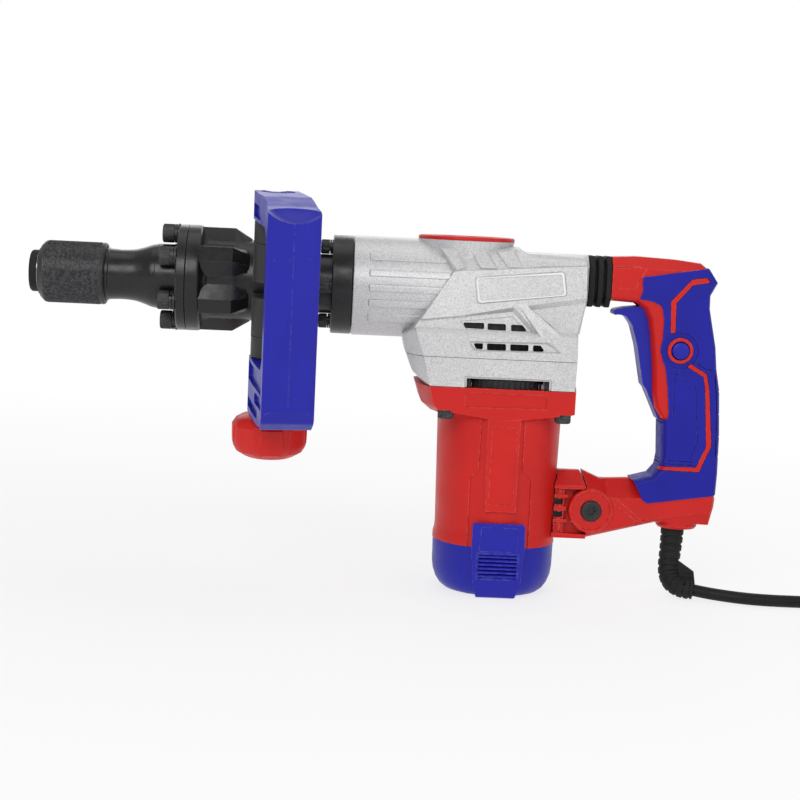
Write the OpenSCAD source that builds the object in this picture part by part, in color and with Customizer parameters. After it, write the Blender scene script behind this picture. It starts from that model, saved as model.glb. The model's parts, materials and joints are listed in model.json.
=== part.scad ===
// Light electric demolition hammer with a 17 mm hexagon tool socket.
// X runs back along the barrel from the mouth of the tool socket, Y away from the cord side, Z up.

/* [Barrel] */
// Outer radius of the knurled locking sleeve
sleeve_r = 21.4; // [20.4:0.2:22.4]
// Width across the flats of the tool socket
socket_flats = 17.3; // [17.1:0.1:17.3]
// Radius of the round mouth of the tool socket
socket_mouth_r = 10; // [10:0.1:10.4]
// Depth of the round mouth of the tool socket
socket_mouth_len = 16; // [12:1:18]
// Radius of the two bolted flanges
flange_r = 36.4; // [36:0.2:38]
// Radius of the circle that the nose bolts stand on
nose_bolt_circle = 29.8; // [29.4:0.1:30]
// Radius of the round seat that the side handle is clamped to
seat_r = 27.9; // [27.5:0.1:28]
// Radius of the barrel part of the crank housing
barrel_r = 34.3; // [34:0.1:35]
// Bore radius of the striker cylinder
cylinder_bore_r = 15.03; // [15.03:0.01:15.1]

/* [Crank drive] */
// Gear module
gear_module = 1; // [1]
// Teeth on the motor pinion
pinion_teeth = 10; // [10]
// Teeth on the crank gear
gear_teeth = 48; // [48]
// Throw of the crank pin
crank_throw = 12; // [8:1:12]
// Length of the connecting rod between its pins
rod_len = 61; // [60:1:62]

/* [Motor] */
// Distance of the motor axis from the mouth of the tool socket
motor_x = 328; // [328]
// Outer radius of the motor housing at its top
motor_top_r = 43.2; // [43:0.1:44]
// Outer radius of the motor housing at its bottom
motor_bottom_r = 41.8; // [41.5:0.1:42]
// Height of the seam between the motor housing and the end cap
cap_top_z = -173.6; // [-174:0.1:-173]
// Height of the flat bottom of the end cap, which the cord lies level with
floor_z = -209; // [-209]

/* [Rear handle] */
// Half the width of the handle shells
shell_half = 16; // [16:0.1:16.3]
// Half the width of the grip cover
grip_half = 17.5; // [17:0.1:18]
// Half the width of the trigger
trigger_half = 9; // [8:0.2:9]
// How far the lock button stands out of the grip
button_proud = 2.3; // [2:0.1:3]

/* [Side handle] */
// Turn of the side handle about the barrel, its near side down
clamp_tilt = 5; // [0:1:10]
// Swing of the side handle about its clamp bolt
loop_swing = 9; // [0:1:12]
// Distance from the barrel axis to the clamp bolt
clamp_bolt_y = 42; // [42:0.5:44]
// Radius of the clamp knob
knob_r = 26.5; // [24:0.5:28]

/* [Cord] */
// Diameter of the power cord
cord_d = 8.4; // [8.4]

/* [Hidden] */
$fn = 64;
gap = 0.3;

// Stations along the barrel
ring_end_x = 5.5;
sleeve_x = 6;
sleeve_end_x = 52;
collar_x = 49;
flange_x = 101.5;
seam_x = 108;
lobe_x = 118;
lobe_end_x = 139;
seat_x = 151;
seat_end_x = 188;
case_ring_x = 207;
housing_x = 221.5;
tool_holder_r = 14.2;
ball_x = 30;
nose_bolts_n = 6;
neck_bolts_n = 4;
neck_bolt_circle = 25.6;

// Crank drive
crank_x = motor_x - gear_module * (pinion_teeth + gear_teeth) / 2;
wrist_x = crank_x - crank_throw - rod_len;
pressure_angle = 25;
addendum = 0.8;
dedendum = 1.1;
backlash = 0.15;
disc_top_z = -7.6;
gear_top_z = -14;
gear_bottom_z = -26;
upper_bearing_z = -39;
lower_bearing_z = -56;

// Housing levels
case_seam_z = -46;
motor_seam_z = -64;
fan_top_z = -67;
cap_z = cap_top_z - 0.2;
stator_r = 39.5;
stator_bore_r = 22.8;

// Rear handle
pivot_x = 394;
pivot_z = -149;
button_x = 449.6;
button_z = -34.6;
hinge_x = 441;
hinge_z = -80;
pivot_r = 15;
tongue_half = 8.5;
inner_half = 12.5;
cover_inner = 13.6;
handle_outline = [
    [400, 27], [449, 27], [470, 24.5], [478, 13], [474, -1], [477, -20], [481, -50], [483.5, -96],
    [482.5, -120], [481.5, -144], [477.5, -157.5], [470, -162], [441.5, -163], [439, -158.5],
    [394, -169.7], [394, -150], [390, -140], [388.3, -122.5], [400.7, -127.9], [424, -126.5],
    [436.5, -123.5], [441.5, -111], [440.5, -84], [437, -45], [434, -14], [424.5, -5], [400, -4.5]];
grip_outline = [
    [430, 12], [477.2, 14], [478, 13], [474, -1], [477, -20], [481, -50], [483.5, -96], [482.5, -120],
    [482, -135], [435, -144], [429, -139], [424.5, -126.6], [436.5, -123.5], [441.5, -111], [446, -84],
    [443, -45], [440, -14], [430, -3]];
grip_back = [
    [474, -1], [477, -20], [481, -50], [483.5, -96], [482.5, -120], [482, -135],
    [478.5, -135], [479, -120], [480, -96], [477.5, -50], [473.5, -20], [470.5, -1]];
upper_cavity = [[404, 23], [447, 23], [466, 20], [470, 4], [467, -2], [438, -2], [426, 0], [404, 0]];
grip_cavity = [
    [437, -1], [467, -1], [470, -20], [474, -50], [476, -96], [475, -118], [464, -124], [464, -150],
    [446, -150], [446, -118], [444.5, -84], [441, -45], [438, -14]];
trigger_slot = [[401, -1.5], [446, -1.5], [450, -40], [450, -88], [436, -88], [400, -14]];
trigger_outline = [
    [403.6, -10.8], [407, -7.2], [424, -5.7], [433.3, -14], [436.5, -45], [440.3, -76.5], [441, -84],
    [436, -80], [426.7, -54], [420.8, -31], [413.7, -13.2], [409, -9.8], [405.8, -11.4]];
shell_screws = [[410, 11], [459, 17], [412, -146], [436, -151], [472, -150]];

// Crank housing
housing_side = [
    [257, -30], [261, case_seam_z], [382, case_seam_z], [382, -28.6], [387, -27], [387, 27.5],
    [343, 28], [330, 31], [257, 31]];
housing_section = [
    [-43.5, case_seam_z], [43.5, case_seam_z], [43, -20], [39, -13], [33, 24], [26, 31], [-26, 31],
    [-33, 24], [-39, -13], [-43, -20]];
lower_side = [
    [261, case_seam_z - 0.2], [265, -56.6], [271, -60], [274, motor_seam_z], [382, motor_seam_z],
    [382, case_seam_z - 0.2]];
flange_side = [
    [267, motor_seam_z - 0.2], [272, -76], [284, -88], [371, -88], [378, -82], [381, motor_seam_z - 0.2]];
upper_vents = [[297.7, 14.5], [314.6, 13], [330.2, 12]];
lower_vents = [[305.4, 6.8], [315.2, 12.9], [330.5, 12.8], [346.1, 8.3]];
flange_screws = [[288, -38], [368, -38], [288, 38], [368, 38]];

// Side handle, in the frame of its clamp bolt
clamp_x = 169;
ring_top = 46;
jaw_top = 32;
jaw_gap = 4.9;
leg_top = 66;
leg_bottom = -84;
loop_side = [
    [16, 66], [-45, 65], [-75, 61], [-86, 55], [-91.5, 44], [-91.5, -64], [-87, -73], [-78, -79],
    [-45, -84], [16, -84], [16, -46.3], [-50, -46.3], [-58.5, -38], [-58.5, 38], [-50, 46.3], [16, 46.3]];
loop_plan = [
    [-16, 16], [16, 16], [16, -20], [17.5, -58], [17.5, -92], [-17.5, -92], [-17.5, -58], [-16, -20]];

// Cord: the route from the strain relief to the coil, and the tail to the plug
coil_x = 604;
coil_y = -88.5;
coil_outer = 63.2;
coil_inner = 29.4;
coil_h = 17;
relief_route = [
    [455, 0, -154], [455, 0, -163], [455, 0, -174], [454.5, -1.5, -184], [456, -5, -193],
    [461, -10.5, -199.3], [469, -16, -202.2]];
relief_radii = [8.6, 7.8, 7.3, 6.9, 6.5, 6.1, 5.6];
cord_route = [
    [469, -16, -202.2], [480, -20.5, -203.2], [492, -24, -204], [506, -27, -204.6], [520, -28.8, -204.8],
    [536, -29.5, -204.8], [553, -29.5, -204.8], [570, -29.5, -204.8], [587, -29.5, -204.8],
    [604, -29.5, -204.8]];
tail_route = [[604, -147.5, -196.4], [596, -147.5, -196.2], [588, -147.5, -195.2], [580, -147.5, -194.2]];
plug_x = 582;
plug_r = 14.8;

// Shared shapes

// A round bar along X, or a cone when r2 is given
module rod_x(r, x0, x1, r2 = -1)
    translate([x0, 0, 0]) rotate([0, 90, 0]) cylinder(h = x1 - x0, r1 = r, r2 = r2 < 0 ? r : r2);

// A round bar along Z
module rod_z(r, z0, z1, r2 = -1)
    translate([0, 0, z0]) cylinder(h = z1 - z0, r1 = r, r2 = r2 < 0 ? r : r2);

// A round bar along Y at a point of the XZ plane
module rod_y(r, y0, y1, x = 0, z = 0)
    translate([x, y1, z]) rotate([90, 0, 0]) cylinder(h = y1 - y0, r = r);

// A box given by its lowest and highest corners
module block(low, high)
    translate(low) cube(high - low);

// A body turned about the X axis from a profile of [x, radius] points
module turned_x(profile)
    rotate([0, 90, 0]) rotate_extrude() polygon([for (p = profile) [p[1], p[0]]]);

// A body turned about the Z axis from a profile of [radius, z] points
module turned_z(profile)
    rotate_extrude() polygon(profile);

// An outline in the XZ plane, as thick as y0 to y1
module plate_y(outline, y0, y1)
    translate([0, y1, 0]) rotate([90, 0, 0]) linear_extrude(y1 - y0) polygon(outline);

// An outline in the YZ plane, as long as x0 to x1
module bar_x(outline, x0, x1)
    translate([x0, 0, 0]) rotate([90, 0, 90]) linear_extrude(x1 - x0) polygon(outline);

// An upright plate with round corners, as high as z0 to z1
module round_plate(x0, x1, half, r, z0, z1)
    translate([0, 0, z0]) linear_extrude(z1 - z0)
        union() {
            translate([x0 + r, -half]) square([x1 - x0 - 2 * r, 2 * half]);
            translate([x0, r - half]) square([x1 - x0, 2 * (half - r)]);
            for (x = [x0 + r, x1 - r], y = [r - half, half - r])
                translate([x, y]) circle(r = r);
        }

// Copies of its children on a circle about the X axis
module around_x(n, radius, first = 90)
    for (i = [0 : n - 1])
        rotate([first + i * 360 / n, 0, 0]) translate([0, radius, 0]) children();

module at_motor()
    translate([motor_x, 0, 0]) children();

module at_crank()
    translate([crank_x, 0, 0]) children();

// A socket-head screw along X, its head's face at x and its shank running back
module cap_screw_x(head_r, head_h, shank_r, shank_len, x)
    difference() {
        union() {
            rod_x(head_r, x, x + head_h);
            rod_x(shank_r, x + head_h, x + head_h + shank_len);
        }
        translate([x - 1, 0, 0]) rotate([0, 90, 0]) cylinder(h = head_h * 0.6 + 1, r = head_r * 0.52, $fn = 6);
    }

// The same screw along Z, its head's face at z and its shank running up
module cap_screw_z(head_r, head_h, shank_r, shank_len, z)
    difference() {
        union() {
            rod_z(head_r, z, z + head_h);
            rod_z(shank_r, z + head_h, z + head_h + shank_len);
        }
        translate([0, 0, z - 1]) cylinder(h = head_h * 0.6 + 1, r = head_r * 0.52, $fn = 6);
    }

// A tube swept along points, with a radius at each of them
function unit(v) = v / norm(v);
function heading(p, i) = unit(p[min(i + 1, len(p) - 1)] - p[max(i - 1, 0)]);
function sideways(d) = unit(cross(d, abs(d[2]) > 0.9 ? [0, 1, 0] : [0, 0, 1]));
function ring(p, d, u, r, n) =
    [for (k = [0 : n - 1]) p + r * (cos(360 * k / n) * u + sin(360 * k / n) * cross(d, u))];
function carried(u, d) = unit(u - (u * d) * d);
function frames(p, i, u) =
    i == len(p) ? [] : concat([carried(u, heading(p, i))], frames(p, i + 1, carried(u, heading(p, i))));

module sweep(points, radii, n)
    let (us = frames(points, 0, sideways(heading(points, 0))), last = len(points) - 1)
    polyhedron(
        points = [for (i = [0 : last]) each ring(points[i], heading(points, i), us[i], radii[i], n)],
        faces = concat(
            [[for (k = [0 : n - 1]) k]],
            [for (i = [0 : last - 1], k = [0 : n - 1])
                [i * n + k, (i + 1) * n + k, (i + 1) * n + (k + 1) % n, i * n + (k + 1) % n]],
            [[for (k = [n - 1 : -1 : 0]) last * n + k]]));

// A coil spring about the Z axis, from height 0
module coil_spring(radius, wire_r, length, turns, steps = 14)
    let (n = round(turns * steps))
    sweep(
        [for (i = [0 : n])
            [radius * cos(360 * i / steps), radius * sin(360 * i / steps),
             wire_r + (length - 2 * wire_r) * i / n]],
        [for (i = [0 : n]) wire_r], 6);

// A spur gear's outline, with a tooth on the +X axis before it is turned by first
function involute(r, base) = r <= base ? 0 : tan(acos(base / r)) * 180 / PI - acos(base / r);
function tooth_half(r, pitch_r, base, teeth) =
    90 / teeth - backlash / 4 / pitch_r * 180 / PI + involute(pitch_r, base) - involute(r, base);
function flank(root, tip, base) = [root, max(root, base), (max(root, base) + tip) / 2, tip];
function gear_outline(teeth, first) =
    let (
        pitch_r = gear_module * teeth / 2,
        base = pitch_r * cos(pressure_angle),
        levels = flank(pitch_r - dedendum * gear_module, pitch_r + addendum * gear_module, base))
    [for (i = [0 : teeth - 1], side = [-1, 1], k = [0 : 3])
        let (
            r = levels[side < 0 ? k : 3 - k],
            a = first + i * 360 / teeth + side * tooth_half(r, pitch_r, base, teeth))
        [r * cos(a), r * sin(a)]];

// Nose

module front_ring()
    color("black")
    turned_x([[0, 12.0], [1, 11.95], [ring_end_x, 11.95], [ring_end_x, 14.3], [1, 14.3], [0, 13.3]]);

module tool_holder()
    color("silver")
    difference() {
        union() {
            rod_x(11.9, 0, ring_end_x);
            rod_x(tool_holder_r, ring_end_x, 100);
            rod_x(17.5, 100, 104);
        }
        rod_x(socket_mouth_r, -1, socket_mouth_len);
        translate([socket_mouth_len - 1, 0, 0]) rotate([0, 90, 0])
            cylinder(h = 75, r = socket_flats / 2 / cos(30), $fn = 6);
        rod_x(8.6, 88, 105);
        rod_y(4.05, -15, 15, ball_x, 0);
    }

module locking_balls()
    color("silver")
    for (side = [-1, 1])
        translate([ball_x, side * 12.2, 0]) sphere(r = 4);

module chuck_sleeve()
    color("black")
    turned_x([
        [sleeve_x, tool_holder_r + 0.08], [sleeve_x, sleeve_r - 3.9], [sleeve_x + 5, sleeve_r],
        [sleeve_end_x - 1.5, sleeve_r], [sleeve_end_x, sleeve_r - 1.5], [sleeve_end_x, 18.6],
        [36, 18.6], [36, 16.4], [25, 16.4], [25, 18], [14, 18], [14, tool_holder_r + 0.08]]);

module sleeve_spring()
    color("silver")
    translate([36.1, 0, 0]) rotate([0, 90, 0]) coil_spring(17.3, 0.6, 12.8, 4);

module nose_housing()
    color("black")
    difference() {
        turned_x([
            [collar_x, tool_holder_r + 0.05], [collar_x, 18.1], [54, 18.1], [54.5, 17.6], [65, 17.2],
            [72, 18], [80, 20.6], [86, 22.1], [flange_x, 22.1], [flange_x, flange_r - 1],
            [flange_x + 1, flange_r], [seam_x, flange_r], [seam_x, 17.6], [100, 17.6],
            [100, tool_holder_r + 0.05]]);
        around_x(nose_bolts_n, nose_bolt_circle) rod_x(4.2, flange_x - 1, seam_x + 1);
    }

module nose_bolts()
    color("black")
    around_x(nose_bolts_n, nose_bolt_circle) cap_screw_x(6.45, 8, 4, 30, 89.5);

module spring_washers()
    color("dimgray") {
        around_x(nose_bolts_n, nose_bolt_circle) washer_x(6.6, 4.1, flange_x - 3.8, flange_x);
        around_x(neck_bolts_n, neck_bolt_circle) washer_x(5.1, 3.1, case_ring_x - 2.4, case_ring_x);
    }

module washer_x(outer, inner, x0, x1)
    difference() {
        rod_x(outer, x0, x1);
        rod_x(inner, x0 - 1, x1 + 1);
    }

module damper_ring()
    color("black")
    difference() {
        rod_x(17.5, 104.1, 110);
        rod_x(12.6, 103, 111);
    }

module impact_bolt()
    color("silver")
    turned_x([
        [92, 0], [92, 7.5], [93.5, 8.5], [111.5, 8.5], [111.5, 14.95], [120, 14.95], [122, 9], [130, 9],
        [130, 0]]);

module cylinder_case()
    color("black")
    difference() {
        union() {
            rod_x(flange_r, seam_x + 0.1, lobe_x);
            intersection() {
                union() {
                    rod_x(29.5, lobe_x - 1, seat_x);
                    around_x(nose_bolts_n, nose_bolt_circle - 3) rod_x(8.5, lobe_x - 1, seat_x);
                }
                turned_x([
                    [lobe_x - 1, 0], [lobe_x - 1, 40], [lobe_end_x, 40], [lobe_end_x, 35.3],
                    [seat_x, seat_r], [seat_x, 0]]);
            }
            rod_x(seat_r, seat_x - 1, seat_end_x);
            rod_x(20.4, seat_end_x - 1, case_ring_x + 1);
            rod_x(34, case_ring_x, housing_x - 0.1);
        }
        rod_x(17.6, seam_x, 111.9);
        rod_x(19.05, 111.8, housing_x + 1);
        around_x(nose_bolts_n, nose_bolt_circle) rod_x(4.1, seam_x, lobe_end_x - 3);
        around_x(neck_bolts_n, neck_bolt_circle) rod_x(3.1, case_ring_x - 1, housing_x + 1);
    }

module neck_bolts()
    color("black")
    around_x(neck_bolts_n, neck_bolt_circle) cap_screw_x(5, 6, 3, 30, case_ring_x - 8.4);

// Hammer mechanism

module cylinder_tube()
    color("silver")
    difference() {
        rod_x(19, 112, 256);
        rod_x(cylinder_bore_r, 111, 257);
    }

module striker()
    color("silver")
    difference() {
        turned_x([[152, 0], [152, 7], [153, 8], [160, 8], [162, 14.95], [186, 14.95], [186, 0]]);
        rotate([0, 90, 0]) translate([0, 0, 175]) ring_cut(13, 16, 3);
    }

module ring_cut(inner, outer, h)
    difference() {
        cylinder(h = h, r = outer);
        translate([0, 0, -1]) cylinder(h = h + 2, r = inner);
    }

module striker_o_ring()
    color("black")
    translate([176.5, 0, 0]) rotate([0, 90, 0]) rotate_extrude()
        translate([13.95, 0]) circle(r = 0.95, $fn = 24);

module piston()
    color("silver")
    difference() {
        rod_x(14.95, 206, 240);
        rod_x(11, 214, 241);
        translate([wrist_x, 0, 0]) rod_z(4.02, -16, 16);
    }

module wrist_pin()
    color("silver")
    translate([wrist_x, 0, 0]) rod_z(4, -13.8, 13.8);

module connecting_rod()
    color("silver")
    difference() {
        union() {
            translate([wrist_x, 0, 0]) rod_z(7.5, -6, 6);
            translate([crank_x - crank_throw, 0, 0]) rod_z(9, -6, 6);
            block([wrist_x + 2, -4.5, -4], [crank_x - crank_throw - 2, 4.5, 4]);
        }
        translate([wrist_x, 0, 0]) rod_z(4.06, -7, 7);
        translate([crank_x - crank_throw, 0, 0]) rod_z(5, -7, 7);
    }

module crank_pin()
    color("silver")
    translate([crank_x - crank_throw, 0, 0]) rod_z(5, disc_top_z + gap, 7);

module crank_gear()
    color("silver")
    at_crank() difference() {
        union() {
            rod_z(20, gear_top_z - 0.1, disc_top_z);
            translate([0, 0, gear_bottom_z]) linear_extrude(gear_top_z - gear_bottom_z)
                polygon(gear_outline(gear_teeth, 0));
            rod_z(7.45, lower_bearing_z, gear_bottom_z + 1);
        }
        translate([-crank_throw, 0, 0]) rod_z(5, disc_top_z - 5, disc_top_z + 1);
    }

module bearing(inner, outer, z0, z1)
    translate([0, 0, z0]) difference() {
        cylinder(h = z1 - z0, r = outer);
        translate([0, 0, -1]) cylinder(h = z1 - z0 + 2, r = inner);
    }

module crank_bearings()
    color("silver")
    at_crank() {
        bearing(7.5, 17, upper_bearing_z, upper_bearing_z + 9);
        bearing(7.5, 13, lower_bearing_z, lower_bearing_z + 8);
    }

// Housings

module crank_housing()
    color("lightgray")
    difference() {
        union() {
            rod_x(barrel_r, housing_x, 300);
            intersection() {
                plate_y(housing_side, -50, 50);
                bar_x(housing_section, 250, 390);
            }
            at_crank() rod_z(38, 26, 34.4, 33);
        }
        rod_x(19.05, housing_x - 1, 258);
        block([250, -17, -15], [crank_x, 17, 15]);
        at_crank() {
            rod_z(27, gear_bottom_z - 2, 14);
            rod_z(26, 13, 36);
            rod_z(17.05, upper_bearing_z - 0.1, gear_bottom_z);
            rod_z(11, case_seam_z - 1, upper_bearing_z + 1);
        }
        block([318, -8, gear_bottom_z - 2], [motor_x, 8, -10]);
        at_motor() {
            rod_z(8, gear_bottom_z - 2, -10);
            rod_z(6.5, case_seam_z - 1, gear_bottom_z);
        }
        for (side = [-1, 1])
            block([296, side < 0 ? -39 : 31.5, case_seam_z - 1], [358, side < 0 ? -31.5 : 39, -16]);
        for (side = [-1, 1], v = upper_vents)
            block([v[0], side < 0 ? -50 : 35, -25], [v[0] + v[1], side < 0 ? -35 : 50, -21]);
        for (side = [-1, 1], v = lower_vents)
            block([v[0], side < 0 ? -50 : 35, -39], [v[0] + v[1], side < 0 ? -35 : 50, -34.8]);
        around_x(neck_bolts_n, neck_bolt_circle) rod_x(3.1, housing_x - 1, housing_x + 14);
        translate([0, 0, 10]) rod_x(12, 383, 388);
        for (p = flange_screws)
            translate([p[0], p[1], 0]) rod_z(2.5, case_seam_z - 1, case_seam_z + 8);
    }

module inner_housing()
    color("lightgray")
    difference() {
        intersection() {
            plate_y(lower_side, -50, 50);
            round_plate(258, 382, 44, 14, -70, -40);
        }
        at_motor() {
            rod_z(38, motor_seam_z - 1, -60);
            rod_z(13.05, -61, -51);
            rod_z(6.5, -52, -40);
        }
        at_crank() rod_z(13.05, lower_bearing_z - 0.1, -40);
        for (side = [-1, 1])
            block([302, side < 0 ? -36 : 22, -61], [354, side < 0 ? -22 : 36, -40]);
        for (side = [-1, 1])
            block([302, side < 0 ? -50 : 34, motor_seam_z - 1], [358, side < 0 ? -34 : 50, -59.6]);
        for (p = flange_screws)
            translate([p[0], p[1], 0]) rod_z(3.1, -70, -40);
    }

module top_cover()
    color("firebrick")
    at_crank() difference() {
        union() {
            rod_z(33, 34.5, 36.1);
            rod_z(33, 36.1, 37.1, 32);
            rod_z(25.9, 30, 35);
        }
        rod_z(22, 29, 33);
    }

module fan_baffle()
    color("black")
    at_motor() difference() {
        rod_z(37.9, motor_seam_z - 1, -60.2);
        rod_z(27, motor_seam_z - 2, -60);
    }

module motor_housing()
    color("firebrick")
    difference() {
        union() {
            intersection() {
                plate_y(flange_side, -50, 50);
                round_plate(264, 382, 44.5, 14, -90, -60);
            }
            at_motor() rod_z(motor_bottom_r, cap_top_z, -80, motor_top_r);
        }
        for (p = flange_screws)
            translate([p[0], p[1], 0]) {
                rod_z(3.1, -90, -60);
                rod_z(6.2, -90, -80);
            }
        difference() {
            at_motor() rod_z(39.6, cap_top_z - 1, -60);
            for (a = [45 : 90 : 315])
                at_motor() rotate([0, 0, a]) {
                    translate([29, 0, 0]) rod_z(4.6, cap_top_z - 1, -155);
                    block([29, -4, cap_top_z - 1], [41, 4, -155]);
                }
        }
        for (a = [45 : 90 : 315])
            at_motor() rotate([0, 0, a]) translate([29, 0, 0]) rod_z(2.1, cap_top_z - 1, -157);
    }

module motor_housing_bolts()
    color("black")
    for (p = flange_screws)
        translate([p[0], p[1], 0]) cap_screw_z(5.4, 6, 3, 26, -86);

// Motor

module stator()
    color("dimgray")
    at_motor() difference() {
        rod_z(stator_r, -150, -92);
        rod_z(stator_bore_r, -151, -91);
        for (side = [0, 180])
            rotate([0, 0, side]) winding_slot(-151, -91);
    }

// The space between two poles, where a coil's side lies
module winding_slot(z0, z1)
    translate([0, 0, z0]) rotate([0, 0, -38]) rotate_extrude(angle = 76)
        translate([22, 0]) square([11, z1 - z0]);

module field_windings()
    color("peru")
    at_motor() for (side = [0, 180])
        rotate([0, 0, side]) translate([0, 0, -156]) rotate([0, 0, -34])
            rotate_extrude(angle = 68) translate([23.6, 0]) square([8.6, 70]);

module armature_shaft()
    color("silver")
    at_motor() {
        translate([0, 0, gear_bottom_z - 1]) linear_extrude(gear_top_z - gear_bottom_z + 2)
            polygon(gear_outline(pinion_teeth, 180 / pinion_teeth));
        rod_z(4.95, -196, gear_bottom_z - 0.9);
        rod_z(3.95, -203, -195.9);
    }

module armature_core()
    color("dimgray")
    at_motor() difference() {
        union() {
            rod_z(22, -146, -96);
            rod_z(18.5, -152, -90);
        }
        rod_z(5, -153, -89);
        for (a = [0 : 30 : 330])
            rotate([0, 0, a]) block([19, -0.8, -147], [23, 0.8, -95]);
    }

module commutator()
    color("peru")
    at_motor() difference() {
        rod_z(12, -172, -156);
        rod_z(5, -173, -155);
        for (a = [0 : 30 : 330])
            rotate([0, 0, a]) block([11, -0.3, -173], [13, 0.3, -158]);
    }

module cooling_fan()
    color("black")
    at_motor() difference() {
        union() {
            rod_z(36.5, fan_top_z - 1.6, fan_top_z);
            rod_z(9, fan_top_z - 17, fan_top_z - 1);
            for (a = [0 : 24 : 336])
                rotate([0, 0, a]) block([16, -0.8, fan_top_z - 15], [36, 0.8, fan_top_z - 1]);
        }
        rod_z(5, fan_top_z - 18, fan_top_z + 1);
    }

module motor_bearings()
    color("silver")
    at_motor() {
        bearing(5, 13, -60, -51);
        bearing(4, 11, -203, -196.1);
    }

module brush_holders()
    color("peru")
    for (side = [-1, 1])
        at_motor() rotate([0, 0, side * 90]) difference() {
            block([14, -4.5, -170], [38.5, 4.5, -158]);
            block([13, -3.1, -168.6], [37, 3.1, -159.4]);
        }

module carbon_brushes()
    color("black")
    for (side = [-1, 1])
        at_motor() rotate([0, 0, side * 90]) block([12.15, -3, -168.5], [26, 3, -159.5]);

module end_cap()
    color("mediumblue")
    difference() {
        at_motor() turned_z([
            [0, floor_z], [35, floor_z], [38.5, floor_z + 4], [41.3, floor_z + 14], [41.6, cap_z],
            [0, cap_z]]);
        difference() {
            at_motor() rod_z(38, floor_z + 4, cap_top_z + 1);
            at_motor() rod_z(14, floor_z, -194);
            for (a = [45 : 90 : 315])
                at_motor() rotate([0, 0, a]) {
                    translate([29, 0, 0]) rod_z(5, floor_z, cap_z);
                    block([29, -4, floor_z], [39, 4, cap_z]);
                }
        }
        at_motor() rod_z(11.05, -203.1, -190);
        for (a = [45 : 90 : 315])
            at_motor() rotate([0, 0, a]) translate([29, 0, 0]) {
                rod_z(2.1, floor_z - 1, cap_top_z + 1);
                rod_z(4.2, floor_z - 1, floor_z + 5);
            }
        for (side = [-1, 1], i = [0 : 5])
            block([313, side < 0 ? -50 : 35, -192 + i * 2.7], [343, side < 0 ? -35 : 50, -190.6 + i * 2.7]);
    }

module end_cap_screws()
    color("dimgray")
    for (a = [45 : 90 : 315])
        at_motor() rotate([0, 0, a]) translate([29, 0, 0]) cap_screw_z(4, 3, 2, 44, floor_z + 2);

// Rear handle

module handle_bracket()
    color("firebrick")
    difference() {
        union() {
            block([360, -shell_half, -127], [386.6, shell_half, -122.5]);
            block([360, -shell_half, -169], [392.6, shell_half, -164.6]);
            block([360, -12, -166], [376, 12, -125]);
            for (z = [-160 : 8 : -136])
                block([360, -shell_half, z - 1.2], [376, shell_half, z + 1.2]);
            block([374, -tongue_half, -158], [pivot_x, tongue_half, -140]);
            rod_y(11, -tongue_half, tongue_half, pivot_x, pivot_z);
        }
        at_motor() rod_z(motor_bottom_r + 0.3, cap_top_z, -80, motor_top_r + 0.3);
        for (side = [-1, 1])
            rod_y(pivot_r + 0.8, side < 0 ? -20 : tongue_half, side < 0 ? -tongue_half : 20, pivot_x, pivot_z);
        rod_y(4.06, -30, 30, pivot_x, pivot_z);
    }

module pivot_bolt()
    color("black")
    difference() {
        union() {
            rod_y(4, -17, 21, pivot_x, pivot_z);
            rod_y(7.3, -20.4, -16.4, pivot_x, pivot_z);
        }
        translate([pivot_x, -18, pivot_z]) rotate([90, 0, 0]) cylinder(h = 4, r = 3.5, $fn = 6);
    }

module pivot_nut()
    color("dimgray")
    difference() {
        translate([pivot_x, 22.4, pivot_z]) rotate([90, 0, 0]) cylinder(h = 6, r = 7.5, $fn = 6);
        rod_y(4, 15, 29, pivot_x, pivot_z);
    }

// A round-cornered ring around the handle's upper joint
module oval_x(half_y, half_z, r, x0, x1)
    translate([x0, 0, 10.2]) rotate([90, 0, 90]) linear_extrude(x1 - x0)
        union() {
            square([2 * half_y - 2 * r, 2 * half_z], center = true);
            square([2 * half_y, 2 * half_z - 2 * r], center = true);
            for (y = [-1, 1], z = [-1, 1])
                translate([y * (half_y - r), z * (half_z - r)]) circle(r = r);
        }

module bellows()
    color("black")
    difference() {
        union() {
            oval_x(13.6, 15.6, 7, 387.2, 399.8);
            for (i = [0 : 3])
                oval_x(15.6, 17.6, 9, 387.6 + i * 3.2, 389.6 + i * 3.2);
        }
        oval_x(11.6, 13.6, 5, 387, 400);
    }

module handle_spring()
    color("silver")
    translate([383.4, 0, 10]) rotate([0, 90, 0]) coil_spring(8.5, 1.1, 16.3, 5);

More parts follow.
